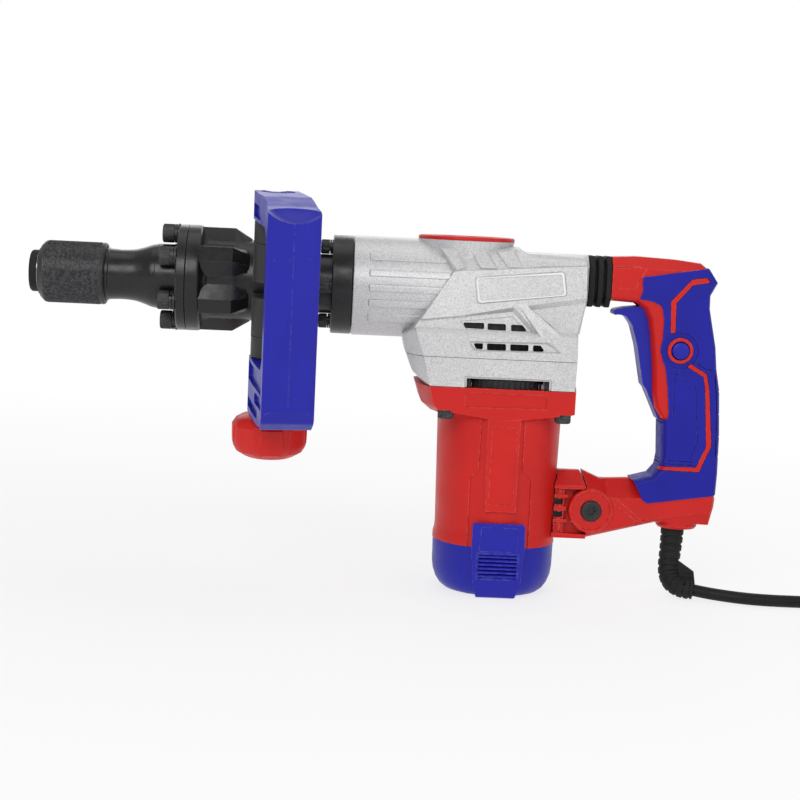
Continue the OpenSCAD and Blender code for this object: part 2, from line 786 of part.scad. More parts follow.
module shell_half_body(side)
    difference() {
        union() {
            difference() {
                plate_y(handle_outline, side < 0 ? -shell_half : 0, side < 0 ? 0 : shell_half);
                plate_y(upper_cavity, side < 0 ? -inner_half : -1, side < 0 ? 1 : inner_half);
                plate_y(grip_cavity, side < 0 ? -inner_half : -1, side < 0 ? 1 : inner_half);
            }
            rod_y(pivot_r, side < 0 ? -shell_half : 0, side < 0 ? 0 : shell_half, pivot_x, pivot_z);
            for (p = [shell_screws[0], shell_screws[1]])
                rod_y(4, side < 0 ? -inner_half - 1 : 0, side < 0 ? 0 : inner_half + 1, p[0], p[1]);
        }
        rod_y(12.5, -tongue_half - gap, tongue_half + gap, pivot_x, pivot_z);
        block([376, -tongue_half - gap, -160], [pivot_x, tongue_half + gap, -138]);
        plate_y(grip_outline, side < 0 ? -20 : cover_inner, side < 0 ? -cover_inner : 20);
        plate_y(grip_back, -20, 20);
        plate_y(trigger_slot, -trigger_half - 0.4, trigger_half + 0.4);
        rod_y(4.06, -20, 20, pivot_x, pivot_z);
        rod_y(1.54, -14, 14, hinge_x, hinge_z);
        for (p = shell_screws) {
            rod_y(1.6, -8, 20, p[0], p[1]);
            rod_y(3.3, 13.4, 20, p[0], p[1]);
        }
        translate([455, 0, 0]) rod_z(8.7, -170, -149);
    }

module handle_shell_left()
    color("firebrick")
    difference() {
        union() {
            shell_half_body(-1);
            rod_y(8.9, 1 - grip_half, -cover_inner, button_x, button_z);
        }
        rod_y(6.5, -30, -11, button_x, button_z);
    }

module handle_shell_right()
    color("firebrick")
    shell_half_body(1);

module grip_cover()
    color("mediumblue")
    difference() {
        union() {
            plate_y(grip_outline, -grip_half, -cover_inner);
            plate_y(grip_outline, cover_inner, grip_half);
            plate_y(grip_back, -grip_half, grip_half);
        }
        rod_y(9, -30, -11, button_x, button_z);
    }

module trigger()
    color("mediumblue")
    difference() {
        union() {
            plate_y(trigger_outline, -trigger_half, trigger_half);
            rod_y(3.6, -trigger_half, trigger_half, hinge_x, hinge_z);
        }
        rod_y(1.56, -20, 20, hinge_x, hinge_z);
    }

module trigger_pin()
    color("silver")
    rod_y(1.5, -14, 14, hinge_x, hinge_z);

module trigger_spring()
    color("silver")
    translate([435.8, 0, -26]) rotate([0, 90, 0]) coil_spring(3, 0.4, 17, 7, 12);

module switch_body()
    color("dimgray")
    union() {
        block([453.5, -8.5, -62], [469, 8.5, -14]);
        block([453.2, -5, -100], [466, 5, -62]);
    }

module lock_button()
    color("mediumblue")
    union() {
        rod_y(6.3, -grip_half - button_proud, -13.2, button_x, button_z);
        rod_y(3, -13.3, -12.6, button_x, button_z);
    }

module handle_screws()
    color("dimgray")
    for (p = shell_screws)
        difference() {
            union() {
                rod_y(3.1, 13.4, 15.6, p[0], p[1]);
                rod_y(1.6, -8, 13.5, p[0], p[1]);
            }
            translate([p[0], 16, p[1]]) rotate([90, 0, 0]) cylinder(h = 1.8, r = 1.6, $fn = 6);
        }

// Cord

module strain_relief()
    color("black")
    sweep(relief_route, relief_radii, 12);

module power_cord()
    color("black") {
        sweep(cord_route, [for (p = cord_route) cord_d / 2], 10);
        sweep(tail_route, [for (p = tail_route) cord_d / 2], 10);
    }

module cord_coil()
    color("black")
    translate([coil_x, coil_y, floor_z]) rotate_extrude()
        translate([coil_inner, 0]) square([coil_outer - coil_inner, coil_h]);

module plug()
    color("black")
    translate([plug_x, -147.5, floor_z + plug_r]) rotate([0, 0, 180]) union() {
        rod_x(6, 0, 10.5, 9);
        rod_x(9, 10, 16.5, 14);
        rod_x(14, 16, 22.5, plug_r);
        rod_x(plug_r, 22, 40);
        for (side = [-1, 1])
            translate([0, side * 9.5, 0]) rod_x(2.4, 39, 59);
    }

// Side handle

module at_clamp()
    rotate([clamp_tilt, 0, 0]) translate([clamp_x, -clamp_bolt_y, 0]) children();

module side_clamp()
    color("dimgray")
    at_clamp() difference() {
        union() {
            translate([0, clamp_bolt_y, 0]) rod_x(34, -15, 15);
            block([-15, -6, -jaw_top], [15, clamp_bolt_y - 20, jaw_top]);
            rod_z(15, -ring_top, ring_top);
        }
        translate([0, clamp_bolt_y, 0]) rod_x(seat_r + 0.07, -16, 16);
        block([-16, -20, -jaw_gap], [16, clamp_bolt_y - 20, jaw_gap]);
        rod_z(4.1, -50, 50);
    }

module side_handle_bolt()
    color("silver")
    at_clamp() union() {
        rod_z(4, -104, 60);
        rod_z(7.5, 59.5, 64);
    }

module side_handle_loop()
    color("mediumblue")
    at_clamp() rotate([0, 0, loop_swing]) difference() {
        intersection() {
            bar_x(loop_side, -20, 20);
            translate([0, 0, leg_bottom - 1]) linear_extrude(leg_top - leg_bottom + 2) polygon(loop_plan);
            union() {
                block([-20, -67, -90], [20, 1, 70]);
                translate([0, -67, 0]) rod_z(24.6, -90, 70);
                rod_z(16, -90, 70);
            }
        }
        rod_z(4.3, -90, 70);
        rod_z(8.2, 59.4, 70);
    }

module side_handle_knob()
    color("firebrick")
    at_clamp() difference() {
        turned_z([
            [0, -114], [16, -114], [knob_r - 2.5, -109], [knob_r, -103], [knob_r, -92], [knob_r - 6, -86.5],
            [13, -84.4], [0, -84.4]]);
        rod_z(4.05, -106, -80);
    }

front_ring();
tool_holder();
locking_balls();
chuck_sleeve();
sleeve_spring();
nose_housing();
nose_bolts();
spring_washers();
damper_ring();
impact_bolt();
cylinder_case();
neck_bolts();
cylinder_tube();  // cylinder
striker();
striker_o_ring();
piston();
wrist_pin();
connecting_rod();
crank_pin();
crank_gear();
crank_bearings();
crank_housing();
inner_housing();
top_cover();
fan_baffle();
motor_housing();
motor_housing_bolts();
stator();
field_windings();
armature_shaft();
armature_core();
commutator();
cooling_fan();
motor_bearings();
brush_holders();
carbon_brushes();
end_cap();
end_cap_screws();
handle_bracket();
pivot_bolt();
pivot_nut();
bellows();
handle_spring();
handle_shell_left();
handle_shell_right();
grip_cover();
trigger();
trigger_pin();
trigger_spring();
switch_body();
lock_button();
handle_screws();
strain_relief();
power_cord();
cord_coil();
plug();
side_clamp();
side_handle_bolt();
side_handle_loop();
side_handle_knob();
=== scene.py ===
"""Looks of a light electric demolition hammer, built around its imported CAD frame.

Shapes are given in millimetres in the CAD frame (X back along the barrel, Y away from the cord side, Z up)
and become metres when a mesh is made. The cord's route is given in metres.
"""
import json
import math

import bmesh
import bpy
from mathutils import Matrix, Vector


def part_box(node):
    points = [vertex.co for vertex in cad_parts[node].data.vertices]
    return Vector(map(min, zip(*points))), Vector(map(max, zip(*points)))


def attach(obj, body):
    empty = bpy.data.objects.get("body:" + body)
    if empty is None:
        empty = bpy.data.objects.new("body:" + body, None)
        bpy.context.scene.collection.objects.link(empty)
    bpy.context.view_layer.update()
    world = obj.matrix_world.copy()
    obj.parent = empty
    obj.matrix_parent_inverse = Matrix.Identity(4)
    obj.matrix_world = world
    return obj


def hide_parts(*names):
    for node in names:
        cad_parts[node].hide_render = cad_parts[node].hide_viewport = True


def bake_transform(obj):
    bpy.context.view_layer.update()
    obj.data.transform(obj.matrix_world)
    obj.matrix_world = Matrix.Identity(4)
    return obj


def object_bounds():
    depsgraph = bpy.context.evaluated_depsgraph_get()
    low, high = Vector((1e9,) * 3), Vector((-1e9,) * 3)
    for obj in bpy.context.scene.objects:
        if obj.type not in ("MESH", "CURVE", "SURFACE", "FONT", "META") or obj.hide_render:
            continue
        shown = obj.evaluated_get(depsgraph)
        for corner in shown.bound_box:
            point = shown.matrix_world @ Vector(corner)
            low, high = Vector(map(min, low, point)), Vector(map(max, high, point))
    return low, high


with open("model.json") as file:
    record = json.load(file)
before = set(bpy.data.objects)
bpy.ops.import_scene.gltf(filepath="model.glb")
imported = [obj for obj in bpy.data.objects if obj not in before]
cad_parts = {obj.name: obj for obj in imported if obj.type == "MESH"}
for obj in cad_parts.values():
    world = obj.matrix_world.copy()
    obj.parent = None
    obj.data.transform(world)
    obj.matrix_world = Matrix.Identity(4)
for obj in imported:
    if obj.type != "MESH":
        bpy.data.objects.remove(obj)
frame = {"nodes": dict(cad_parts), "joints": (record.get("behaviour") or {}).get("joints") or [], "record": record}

cad_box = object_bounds()
MM = 0.001


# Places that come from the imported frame

def span(node):
    """Lowest and highest corner of a CAD node, in millimetres."""
    low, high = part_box(node)
    return low / MM, high / MM


def middle(node):
    """The middle of a node's box."""
    low, high = span(node)
    return (low + high) / 2


def joint(name):
    """A joint's record in the frame."""
    return next(j for j in frame["joints"] if j["name"] == name)


def joint_at(name):
    """A joint's place, in millimetres."""
    return Vector(joint(name)["pos_m"]) / MM


MOTOR_X = middle("end_cap").x
MOTOR_AXIS = (MOTOR_X, 0)
CRANK_X = middle("top_cover").x
PIVOT = joint_at("handle_pivot")
PIVOT_AXIS = (PIVOT.x, PIVOT.z)
BUTTON = middle("lock_button")
BUTTON_AXIS = (BUTTON.x, BUTTON.z)
CLAMP = Matrix.Translation(joint_at("side_handle_swing")) @ Vector((0, 0, 1)).rotation_difference(
    Vector(joint("side_handle_swing")["axis"])).to_matrix().to_4x4()
LOOP_SWING = math.radians(9)
LOOP = CLAMP @ Matrix.Rotation(LOOP_SWING, 4, "Z")


# Camera, lights and floor

CAMERA_AT = Vector((0.2123, -1.25, 0.0509))
CAMERA_YAW = math.radians(2.097)
CAMERA_PITCH = math.radians(5.922)
CAMERA_ROLL = math.radians(2.699)
CAMERA_LENS = 80.94


def make_camera():
    """The camera at its place, turned by yaw, pitch and roll."""
    yaw, pitch = CAMERA_YAW, CAMERA_PITCH
    forward = Vector((math.sin(yaw) * math.cos(pitch), math.cos(yaw) * math.cos(pitch), -math.sin(pitch)))
    level = forward.cross(Vector((0, 0, 1))).normalized()
    upright = level.cross(forward)
    right = level * math.cos(CAMERA_ROLL) + upright * math.sin(CAMERA_ROLL)
    up = right.cross(forward)
    data = bpy.data.cameras.new("camera")
    data.lens = CAMERA_LENS
    data.sensor_width = 36
    camera = bpy.data.objects.new("camera", data)
    turn = Matrix((right, up, -forward)).transposed().to_4x4()
    camera.matrix_world = Matrix.Translation(CAMERA_AT) @ turn
    bpy.context.scene.collection.objects.link(camera)
    bpy.context.scene.camera = camera


def area_light(name, at, towards, size, power):
    """A rectangular light at a place, aimed at another."""
    data = bpy.data.lights.new(name, "AREA")
    data.shape = "RECTANGLE"
    data.size, data.size_y = size
    data.energy = power
    light = bpy.data.objects.new(name, data)
    light.location = at
    light.rotation_mode = "QUATERNION"
    light.rotation_quaternion = (Vector(towards) - Vector(at)).to_track_quat("-Z", "Y")
    bpy.context.scene.collection.objects.link(light)


WHITE = 1.0
FLOOR_RADIUS = 30
FLOOR_FADE = (0.15, 1.2)
SKY = 0.5


def make_world():
    """White light from all round at SKY's strength, and plain white behind for the camera."""
    world = bpy.data.worlds.new("studio")
    world.use_nodes = True
    background = world.node_tree.nodes["Background"]
    background.inputs["Color"].default_value = (WHITE, WHITE, WHITE, 1)
    background.inputs["Strength"].default_value = SKY
    nodes, links = world.node_tree.nodes, world.node_tree.links
    seen = nodes.new("ShaderNodeLightPath").outputs["Is Camera Ray"]
    behind = nodes.new("ShaderNodeBackground")
    behind.inputs["Color"].default_value = (WHITE, WHITE, WHITE, 1)
    mix = nodes.new("ShaderNodeMixShader")
    links.new(seen, mix.inputs[0])
    links.new(background.outputs[0], mix.inputs[1])
    links.new(behind.outputs[0], mix.inputs[2])
    links.new(mix.outputs[0], nodes["World Output"].inputs["Surface"])
    bpy.context.scene.world = world
    bpy.context.scene.view_settings.view_transform = "Standard"


FLOOR_GAP = 0.0002


def make_floor():
    """A wide round floor just under what stands on it."""
    ground = bpy.data.objects.new("floor", bpy.data.meshes.new("floor"))
    sheet = bmesh.new()
    bmesh.ops.create_circle(sheet, cap_ends=True, segments=96, radius=FLOOR_RADIUS)
    sheet.to_mesh(ground.data)
    sheet.free()
    ground.location.z = cad_box[0].z - FLOOR_GAP
    ground.data.materials.append(floor_look())
    bpy.context.scene.collection.objects.link(ground)


# Shape helpers: each makes a bmesh or an object from millimetres

def loft(rings, capped=True, looped=False):
    """A skin over rings of equally many points. looped joins the last ring to the first."""
    bm = bmesh.new()
    rows = [[bm.verts.new(p) for p in ring] for ring in rings]
    count = len(rows[0])
    pairs = list(zip(rows, rows[1:])) + ([(rows[-1], rows[0])] if looped else [])
    for a, b in pairs:
        for i in range(count):
            bm.faces.new((a[i], a[(i + 1) % count], b[(i + 1) % count], b[i]))
    if capped and not looped:
        bm.faces.new(rows[0])
        bm.faces.new(rows[-1])
    bmesh.ops.remove_doubles(bm, verts=bm.verts, dist=0.001)
    bmesh.ops.recalc_face_normals(bm, faces=bm.faces)
    return bm


def flat_to_space(axis, at, u, v):
    """A point of an outline at a station along an axis. Outlines are (y, z), (x, z) or (x, y)."""
    return {"X": (at, u, v), "Y": (u, at, v), "Z": (u, v, at)}[axis]


def extruded(outline, axis, low, high):
    """An outline made solid between two stations along an axis."""
    return loft([[flat_to_space(axis, at, p[0], p[1]) for p in outline] for at in (low, high)])


def circle(radius, steps, centre=(0, 0), first=0.0):
    """Evenly spaced points on a circle, as pairs."""
    return [
        (centre[0] + radius * math.cos(first + 2 * math.pi * i / steps),
         centre[1] + radius * math.sin(first + 2 * math.pi * i / steps))
        for i in range(steps)]


def turned(profile, axis="X", centre=(0, 0), steps=96, looped=False):
    """A body turned about an axis from (station, radius) points, hollow when the profile is a loop."""
    rings = [
        [flat_to_space(axis, at, u, v) for u, v in circle(max(radius, 0.0), steps, centre)]
        for at, radius in profile]
    return loft(rings, capped=False, looped=looped)


def hull(points):
    """The convex solid over points."""
    bm = bmesh.new()
    for p in points:
        bm.verts.new(p)
    made = bmesh.ops.convex_hull(bm, input=bm.verts)
    spare = [v for v in made["geom_interior"] + made["geom_unused"] if isinstance(v, bmesh.types.BMVert)]
    bmesh.ops.delete(bm, geom=list(set(spare)), context="VERTS")
    bmesh.ops.dissolve_limit(bm, angle_limit=math.radians(0.5), verts=bm.verts, edges=bm.edges)
    bmesh.ops.recalc_face_normals(bm, faces=bm.faces)
    return bm


def both_sides(points):
    """Points on the near side and their mirror images on the far side."""
    return [(x, side * abs(y), z) for x, y, z in points for side in (-1, 1)]


def mirrored(bm):
    """A copy on the other side of the middle plane."""
    other = bm.copy()
    bmesh.ops.transform(other, matrix=Matrix.Scale(-1, 4, (0, 1, 0)), verts=other.verts)
    bmesh.ops.reverse_faces(other, faces=other.faces)
    return other


def moved(bm, matrix):
    """The same bmesh, moved by a matrix."""
    bmesh.ops.transform(bm, matrix=matrix, verts=bm.verts)
    return bm


def together(*parts):
    """Several shells in one bmesh."""
    whole = bmesh.new()
    for bm in parts:
        mesh = bpy.data.meshes.new("shell")
        bm.to_mesh(mesh)
        bm.free()
        whole.from_mesh(mesh)
        bpy.data.meshes.remove(mesh)
    return whole


def rounded(points, radius, steps=5):
    """An outline with its corners rounded. A point may carry its own radius as a third number."""
    made = []
    count = len(points)
    for i, point in enumerate(points):
        here = Vector(point[:2])
        to_last = Vector(points[i - 1][:2]) - here
        to_next = Vector(points[(i + 1) % count][:2]) - here
        r = point[2] if len(point) > 2 else radius
        half = to_last.angle(to_next, math.pi) / 2
        if r <= 0 or half > math.radians(88):
            made.append(tuple(here))
            continue
        back = min(r / math.tan(half), 0.48 * to_last.length, 0.48 * to_next.length)
        r = back * math.tan(half)
        centre = here + (to_last.normalized() + to_next.normalized()).normalized() * (r / math.sin(half))
        a, b = here + to_last.normalized() * back - centre, here + to_next.normalized() * back - centre
        turn = a.angle_signed(b)
        for k in range(steps + 1):
            spoke = a.copy()
            spoke.rotate(Matrix.Rotation(-turn * k / steps, 2))
            made.append(tuple(centre + spoke))
    return made


def smooth_line(points, steps=6):
    """A Catmull-Rom line through points of any dimension."""
    pts = [Vector(p) for p in points]
    pts = [2 * pts[0] - pts[1]] + pts + [2 * pts[-1] - pts[-2]]
    line = []
    for a, b, c, d in zip(pts, pts[1:], pts[2:], pts[3:]):
        for k in range(steps):
            t = k / steps
            line.append(0.5 * (2 * b + (c - a) * t + (2 * a - 5 * b + 4 * c - d) * t ** 2
                               + (3 * b - a - 3 * c + d) * t ** 3))
    return line + [pts[-2]]


def solid(bm):
    """A bmesh in millimetres as an object in metres."""
    bmesh.ops.transform(bm, matrix=Matrix.Scale(MM, 4), verts=bm.verts)
    mesh = bpy.data.meshes.new("solid")
    bm.to_mesh(mesh)
    bm.free()
    obj = bpy.data.objects.new("solid", mesh)
    bpy.context.scene.collection.objects.link(obj)
    return obj


def block(outline, axis, low, high):
    """An object from an outline and two stations."""
    return solid(extruded(outline, axis, low, high))


def spun(profile, axis="X", centre=(0, 0), steps=96, looped=False):
    """An object from a turned profile."""
    return solid(turned(profile, axis, centre, steps, looped))


def settle(obj):
    """Makes an object's modifiers part of its mesh."""
    mesh = bpy.data.meshes.new_from_object(obj.evaluated_get(bpy.context.evaluated_depsgraph_get()))
    obj.modifiers.clear()
    obj.data = mesh
    return obj


def combine(body, operation, tools):
    """One boolean with each tool in turn, then a clean-up. The tools are used up."""
    for tool in tools:
        step = body.modifiers.new("combine", "BOOLEAN")
        step.operation = operation
        step.solver = "EXACT"
        step.use_self = False
        step.object = tool
    bpy.context.view_layer.update()
    settle(body)
    for tool in tools:
        bpy.data.objects.remove(tool)
    bm = bmesh.new()
    bm.from_mesh(body.data)
    bmesh.ops.remove_doubles(bm, verts=bm.verts, dist=0.02 * MM)
    bmesh.ops.dissolve_degenerate(bm, edges=bm.edges, dist=0.01 * MM)
    bmesh.ops.dissolve_limit(bm, angle_limit=math.radians(0.3), verts=bm.verts, edges=bm.edges)
    bm.to_mesh(body.data)
    bm.free()
    return body


def joined(body, *tools):
    """The body with every tool added."""
    return combine(body, "UNION", tools)


def cut(body, *tools):
    """The body with every tool taken away."""
    return combine(body, "DIFFERENCE", tools)


def common(body, *tools):
    """The part of the body that is inside every tool."""
    return combine(body, "INTERSECT", tools)


SHARP = math.radians(28)


def soften(obj, width, segments=2):
    """Rounds the sharp edges and shades the rest smooth."""
    for face in obj.data.polygons:
        face.use_smooth = True
    if width:
        bevel = obj.modifiers.new("rounded_edges", "BEVEL")
        bevel.width = width * MM
        bevel.segments = segments
        bevel.limit_method = "ANGLE"
        bevel.angle_limit = SHARP
        bevel.use_clamp_overlap = True
        bevel.miter_outer = "MITER_ARC"
        bevel.harden_normals = False
        weigh = obj.modifiers.new("even_shading", "WEIGHTED_NORMAL")
        weigh.keep_sharp = True
        weigh.weight = 80
    else:
        obj.data.set_sharp_from_angle(angle=SHARP)
    return obj


def piece(obj, name, body, look, replaces=(), edge=0.4, segments=2):
    """Finishes an object as a named piece that rides on a CAD body."""
    obj.name = name
    obj.data.name = name
    obj.data.materials.clear()
    obj.data.materials.append(look)
    soften(obj, edge, segments)
    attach(obj, body)
    if replaces:
        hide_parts(*replaces)
    return obj


# Materials

class Look:
    """A procedural material that is built up one layer at a time. Sizes are in millimetres."""

    def __init__(self, name, colour, roughness, metal=0.0, specular=0.5):
        self.material = bpy.data.materials.new(name)
        self.material.use_nodes = True
        self.tree = self.material.node_tree
        self.shader = self.tree.nodes["Principled BSDF"]
        self.shader.inputs["Metallic"].default_value = metal
        self.shader.inputs["Specular IOR Level"].default_value = specular
        self.place = self.node("ShaderNodeTexCoord").outputs["Object"]
        self.colour = self.value_colour(colour)
        self.rough = self.value(roughness)
        self.height = None

    def node(self, kind, links=(), **settings):
        made = self.tree.nodes.new(kind)
        for key, value in settings.items():
            setattr(made, key, value)
        for socket, value in links:
            if isinstance(value, bpy.types.NodeSocket):
                self.tree.links.new(value, made.inputs[socket])
            else:
                made.inputs[socket].default_value = value
        return made

    def value(self, number):
        made = self.node("ShaderNodeValue")
        made.outputs[0].default_value = number
        return made.outputs[0]

    def value_colour(self, colour):
        made = self.node("ShaderNodeRGB")
        made.outputs[0].default_value = (*colour, 1)
        return made.outputs[0]

    def noise(self, size, detail=3.0, rough=0.5, stretch=(1, 1, 1)):
        """Cloudy noise from 0 to 1 with patches of about that size."""
        place = self.node("ShaderNodeVectorMath", [(0, self.place), (1, stretch)], operation="MULTIPLY")
        made = self.node("ShaderNodeTexNoise", [
            ("Vector", place.outputs[0]), ("Scale", 1 / (size * MM)), ("Detail", detail),
            ("Roughness", rough)])
        return made.outputs[0]

    def cells(self, size, output="Distance"):
        made = self.node("ShaderNodeTexVoronoi", [
            ("Vector", self.place), ("Scale", 1 / (size * MM))])
        return made.outputs[output]

    def ramp(self, value, low, high, to_low=0.0, to_high=1.0):
        made = self.node("ShaderNodeMapRange", [
            ("Value", value), ("From Min", low), ("From Max", high), ("To Min", to_low),
            ("To Max", to_high)])
        made.clamp = True
        return made.outputs[0]

    def math(self, operation, a, b):
        return self.node("ShaderNodeMath", [(0, a), (1, b)], operation=operation).outputs[0]

    def mixed(self, factor, a, b):
        made = self.node("ShaderNodeMix", [(0, factor), (6, a), (7, b)], data_type="RGBA")
        return made.outputs[2]

    def blended(self, factor, a, b):
        return self.node("ShaderNodeMix", [(0, factor), (2, a), (3, b)], data_type="FLOAT").outputs[0]

    def tint(self, factor, colour):
        """Lays a colour over what is there, by a factor."""
        self.colour = self.mixed(factor, self.colour, (*colour, 1))
        return self

    def mottle(self, size, amount, shade=(0, 0, 0)):
        """Broad uneven darkening."""
        return self.tint(self.ramp(self.noise(size), 0.35, 0.75, 0.0, amount), shade)

    def uneven_gloss(self, size, amount):
        change = self.ramp(self.noise(size, 4), 0.3, 0.7, -amount, amount)
        self.rough = self.math("ADD", self.rough, change)
        return self

    def bumps(self, pattern, depth):
        """Adds relief of a depth to what is there."""
        layer = self.math("MULTIPLY", pattern, depth * MM)
        self.height = layer if self.height is None else self.math("ADD", self.height, layer)
        return self

    def grain(self, size, depth):
        return self.bumps(self.noise(size, 2), depth)

    def edges(self, radius):
        """1 on an edge, falling to 0 at that distance from it."""
        turned_normal = self.node("ShaderNodeBevel", [("Radius", radius * MM)], samples=4).outputs[0]
        plain_normal = self.node("ShaderNodeNewGeometry").outputs["Normal"]
        match = self.node("ShaderNodeVectorMath", [(0, turned_normal), (1, plain_normal)],
                          operation="DOT_PRODUCT").outputs["Value"]
        return self.ramp(match, 0.9, 0.995, 1.0, 0.0)

    def wear(self, radius, colour, amount, rough=None, patch=3.0):
        """Rubbed edges, broken up by noise."""
        broken = self.ramp(self.noise(patch, 5, 0.65), 0.42, 0.62, 0.0, amount)
        factor = self.math("MULTIPLY", self.edges(radius), broken)
        self.tint(factor, colour)
        if rough is not None:
            self.rough = self.blended(factor, self.rough, rough)
        return self

    def scratches(self, colour, amount):
        """Fine short rubs in two directions."""
        for stretch in ((1, 1, 14), (12, 1, 1)):
            line = self.noise(7, 5, 0.7, stretch)
            self.tint(self.ramp(line, 0.66, 0.74, 0.0, amount), colour)
        return self

    def dust(self, colour, amount):
        """Pale dust that lies on what faces up."""
        normal = self.node("ShaderNodeNewGeometry").outputs["Normal"]
        up = self.node("ShaderNodeSeparateXYZ", [(0, normal)]).outputs["Z"]
        lying = self.math("MULTIPLY", self.ramp(up, 0.3, 1.0), self.ramp(self.noise(9, 5), 0.4, 0.7, 0.0,
                                                                         amount))
        return self.tint(lying, colour)

    def done(self):
        links = self.tree.links
        links.new(self.colour, self.shader.inputs["Base Color"])
        links.new(self.rough, self.shader.inputs["Roughness"])
        if self.height is not None:
            bump = self.node("ShaderNodeBump", [("Strength", 1.0), ("Distance", 1.0),
                                                ("Height", self.height)])
            links.new(bump.outputs[0], self.shader.inputs["Normal"])
        return self.material


def plastic(name, colour, pale, roughness=0.42):
    """Moulded plastic: fine spark-eroded grain, slight flow marks, rubbed edges and a few scuffs."""
    look = Look(name, colour, roughness, specular=0.28)
    look.mottle(38, 0.12)
    look.uneven_gloss(12, 0.06)
    look.grain(0.55, 0.018)
    look.wear(0.8, pale, 0.5, roughness + 0.1)
    look.scratches(pale, 0.06)
    return look.done()


def rubber(name, colour, pale, roughness=0.62):
    """Soft overmould: dull, with a pebbled grain and a little dust."""
    look = Look(name, colour, roughness, specular=0.18)
    look.mottle(20, 0.15)
    look.uneven_gloss(6, 0.08)
    look.bumps(look.cells(0.7), 0.03)
    look.wear(0.7, pale, 0.3)
    look.dust(pale, 0.10)
    return look.done()


def black_metal(name, colour, roughness, grain, shine):
    """Painted or blackened metal, with bare metal rubbed through at its edges."""
    look = Look(name, colour, roughness, metal=0.25, specular=0.5)
    look.mottle(24, 0.25)
    look.uneven_gloss(8, 0.08)
    look.grain(grain, 0.02)
    look.wear(0.5, shine, 0.55, 0.35, 2.0)
    look.scratches(shine, 0.10)
    return look.done()


def silver_paint():
    """Metallic paint on a casting: light and dark flakes, orange peel, rubbed edges."""
    look = Look("speckled_silver_paint", (0.575, 0.575, 0.575), 0.38, metal=0.3, specular=0.5)
    flakes = look.cells(0.55, output="Color")
    grey = look.node("ShaderNodeSeparateColor", [(0, flakes)]).outputs[0]
    look.tint(look.ramp(grey, 0.62, 1.0, 0.0, 0.55), (0.80, 0.80, 0.80))
    look.tint(look.ramp(grey, 0.0, 0.34, 0.5, 0.0), (0.27, 0.27, 0.28))
    look.tint(look.ramp(look.noise(0.9, 3), 0.45, 0.62, 0.0, 0.22), (0.75, 0.75, 0.76))
    look.mottle(60, 0.08)
    look.rough = look.math("ADD", look.rough, look.ramp(grey, 0.0, 1.0, -0.08, 0.10))
    look.bumps(look.noise(1.1, 3), 0.03)
    look.bumps(grey, 0.008)
    look.wear(0.5, (0.78, 0.78, 0.78), 0.5, 0.3)
    look.dust((0.36, 0.34, 0.31), 0.07)
    return look.done()


def bare_metal(name, colour, roughness, stretch=(1, 1, 1)):
    """Ground or turned metal with fine machining lines and a trace of oil."""
    look = Look(name, colour, roughness, metal=0.95)
    lines = look.noise(1.2, 4, 0.6, stretch)
    look.tint(look.ramp(lines, 0.35, 0.65, 0.0, 0.3), tuple(0.6 * c for c in colour))
    look.uneven_gloss(5, 0.08)
    look.bumps(lines, 0.01)
    look.mottle(10, 0.2, (0.05, 0.04, 0.03))
    return look.done()


def stacked_sheets():
    """Thin steel sheets stacked along Z."""
    look = Look("laminated_steel", (0.24, 0.24, 0.25), 0.4, metal=0.8)
    height = look.node("ShaderNodeSeparateXYZ", [(0, look.place)]).outputs["Z"]
    layer = look.math("PINGPONG", height, 0.35 * MM)
    line = look.ramp(layer, 0.0, 0.35 * MM)
    look.tint(look.ramp(line, 0.0, 0.3, 0.7, 0.0), (0.03, 0.03, 0.035))
    look.bumps(line, 0.05)
    look.mottle(9, 0.35, (0.12, 0.06, 0.03))
    return look.done()


def wound_copper():
    """Enamelled copper wire wound in rows."""
    look = Look("copper_windings", (0.60, 0.26, 0.10), 0.3, metal=0.7)
    place = look.node("ShaderNodeSeparateXYZ", [(0, look.place)])
    across = look.math("ADD", place.outputs["Y"], look.math("MULTIPLY", place.outputs["X"], 0.6))
    wire = look.ramp(look.math("PINGPONG", across, 0.4 * MM), 0.0, 0.4 * MM)
    look.tint(look.ramp(wire, 0.0, 0.5, 0.6, 0.0), (0.12, 0.03, 0.01))
    look.bumps(wire, 0.2)
    look.mottle(7, 0.3, (0.10, 0.04, 0.02))
    return look.done()


def floor_look():
    """Pale floor that fades into the background away from the object."""
    look = Look("pale_floor", (0.86, 0.86, 0.87), 0.7, specular=0.2)
    look.mottle(300, 0.02)
    flat = look.node("ShaderNodeVectorMath", [(0, look.place), (1, (1, 1, 0))], operation="MULTIPLY")
    far = look.node("ShaderNodeVectorMath", [(0, flat.outputs[0])], operation="LENGTH").outputs["Value"]
    fade = look.ramp(far, *FLOOR_FADE, 0.68, 1.0)
    material = look.done()
    glow = look.node("ShaderNodeEmission", [("Color", (WHITE, WHITE, WHITE, 1)), ("Strength", 1.0)])
    mix = look.node("ShaderNodeMixShader", [(0, fade), (1, look.shader.outputs[0]), (2, glow.outputs[0])])
    out = next(n for n in look.tree.nodes if n.type == "OUTPUT_MATERIAL")
    look.tree.links.new(mix.outputs[0], out.inputs["Surface"])
    return material


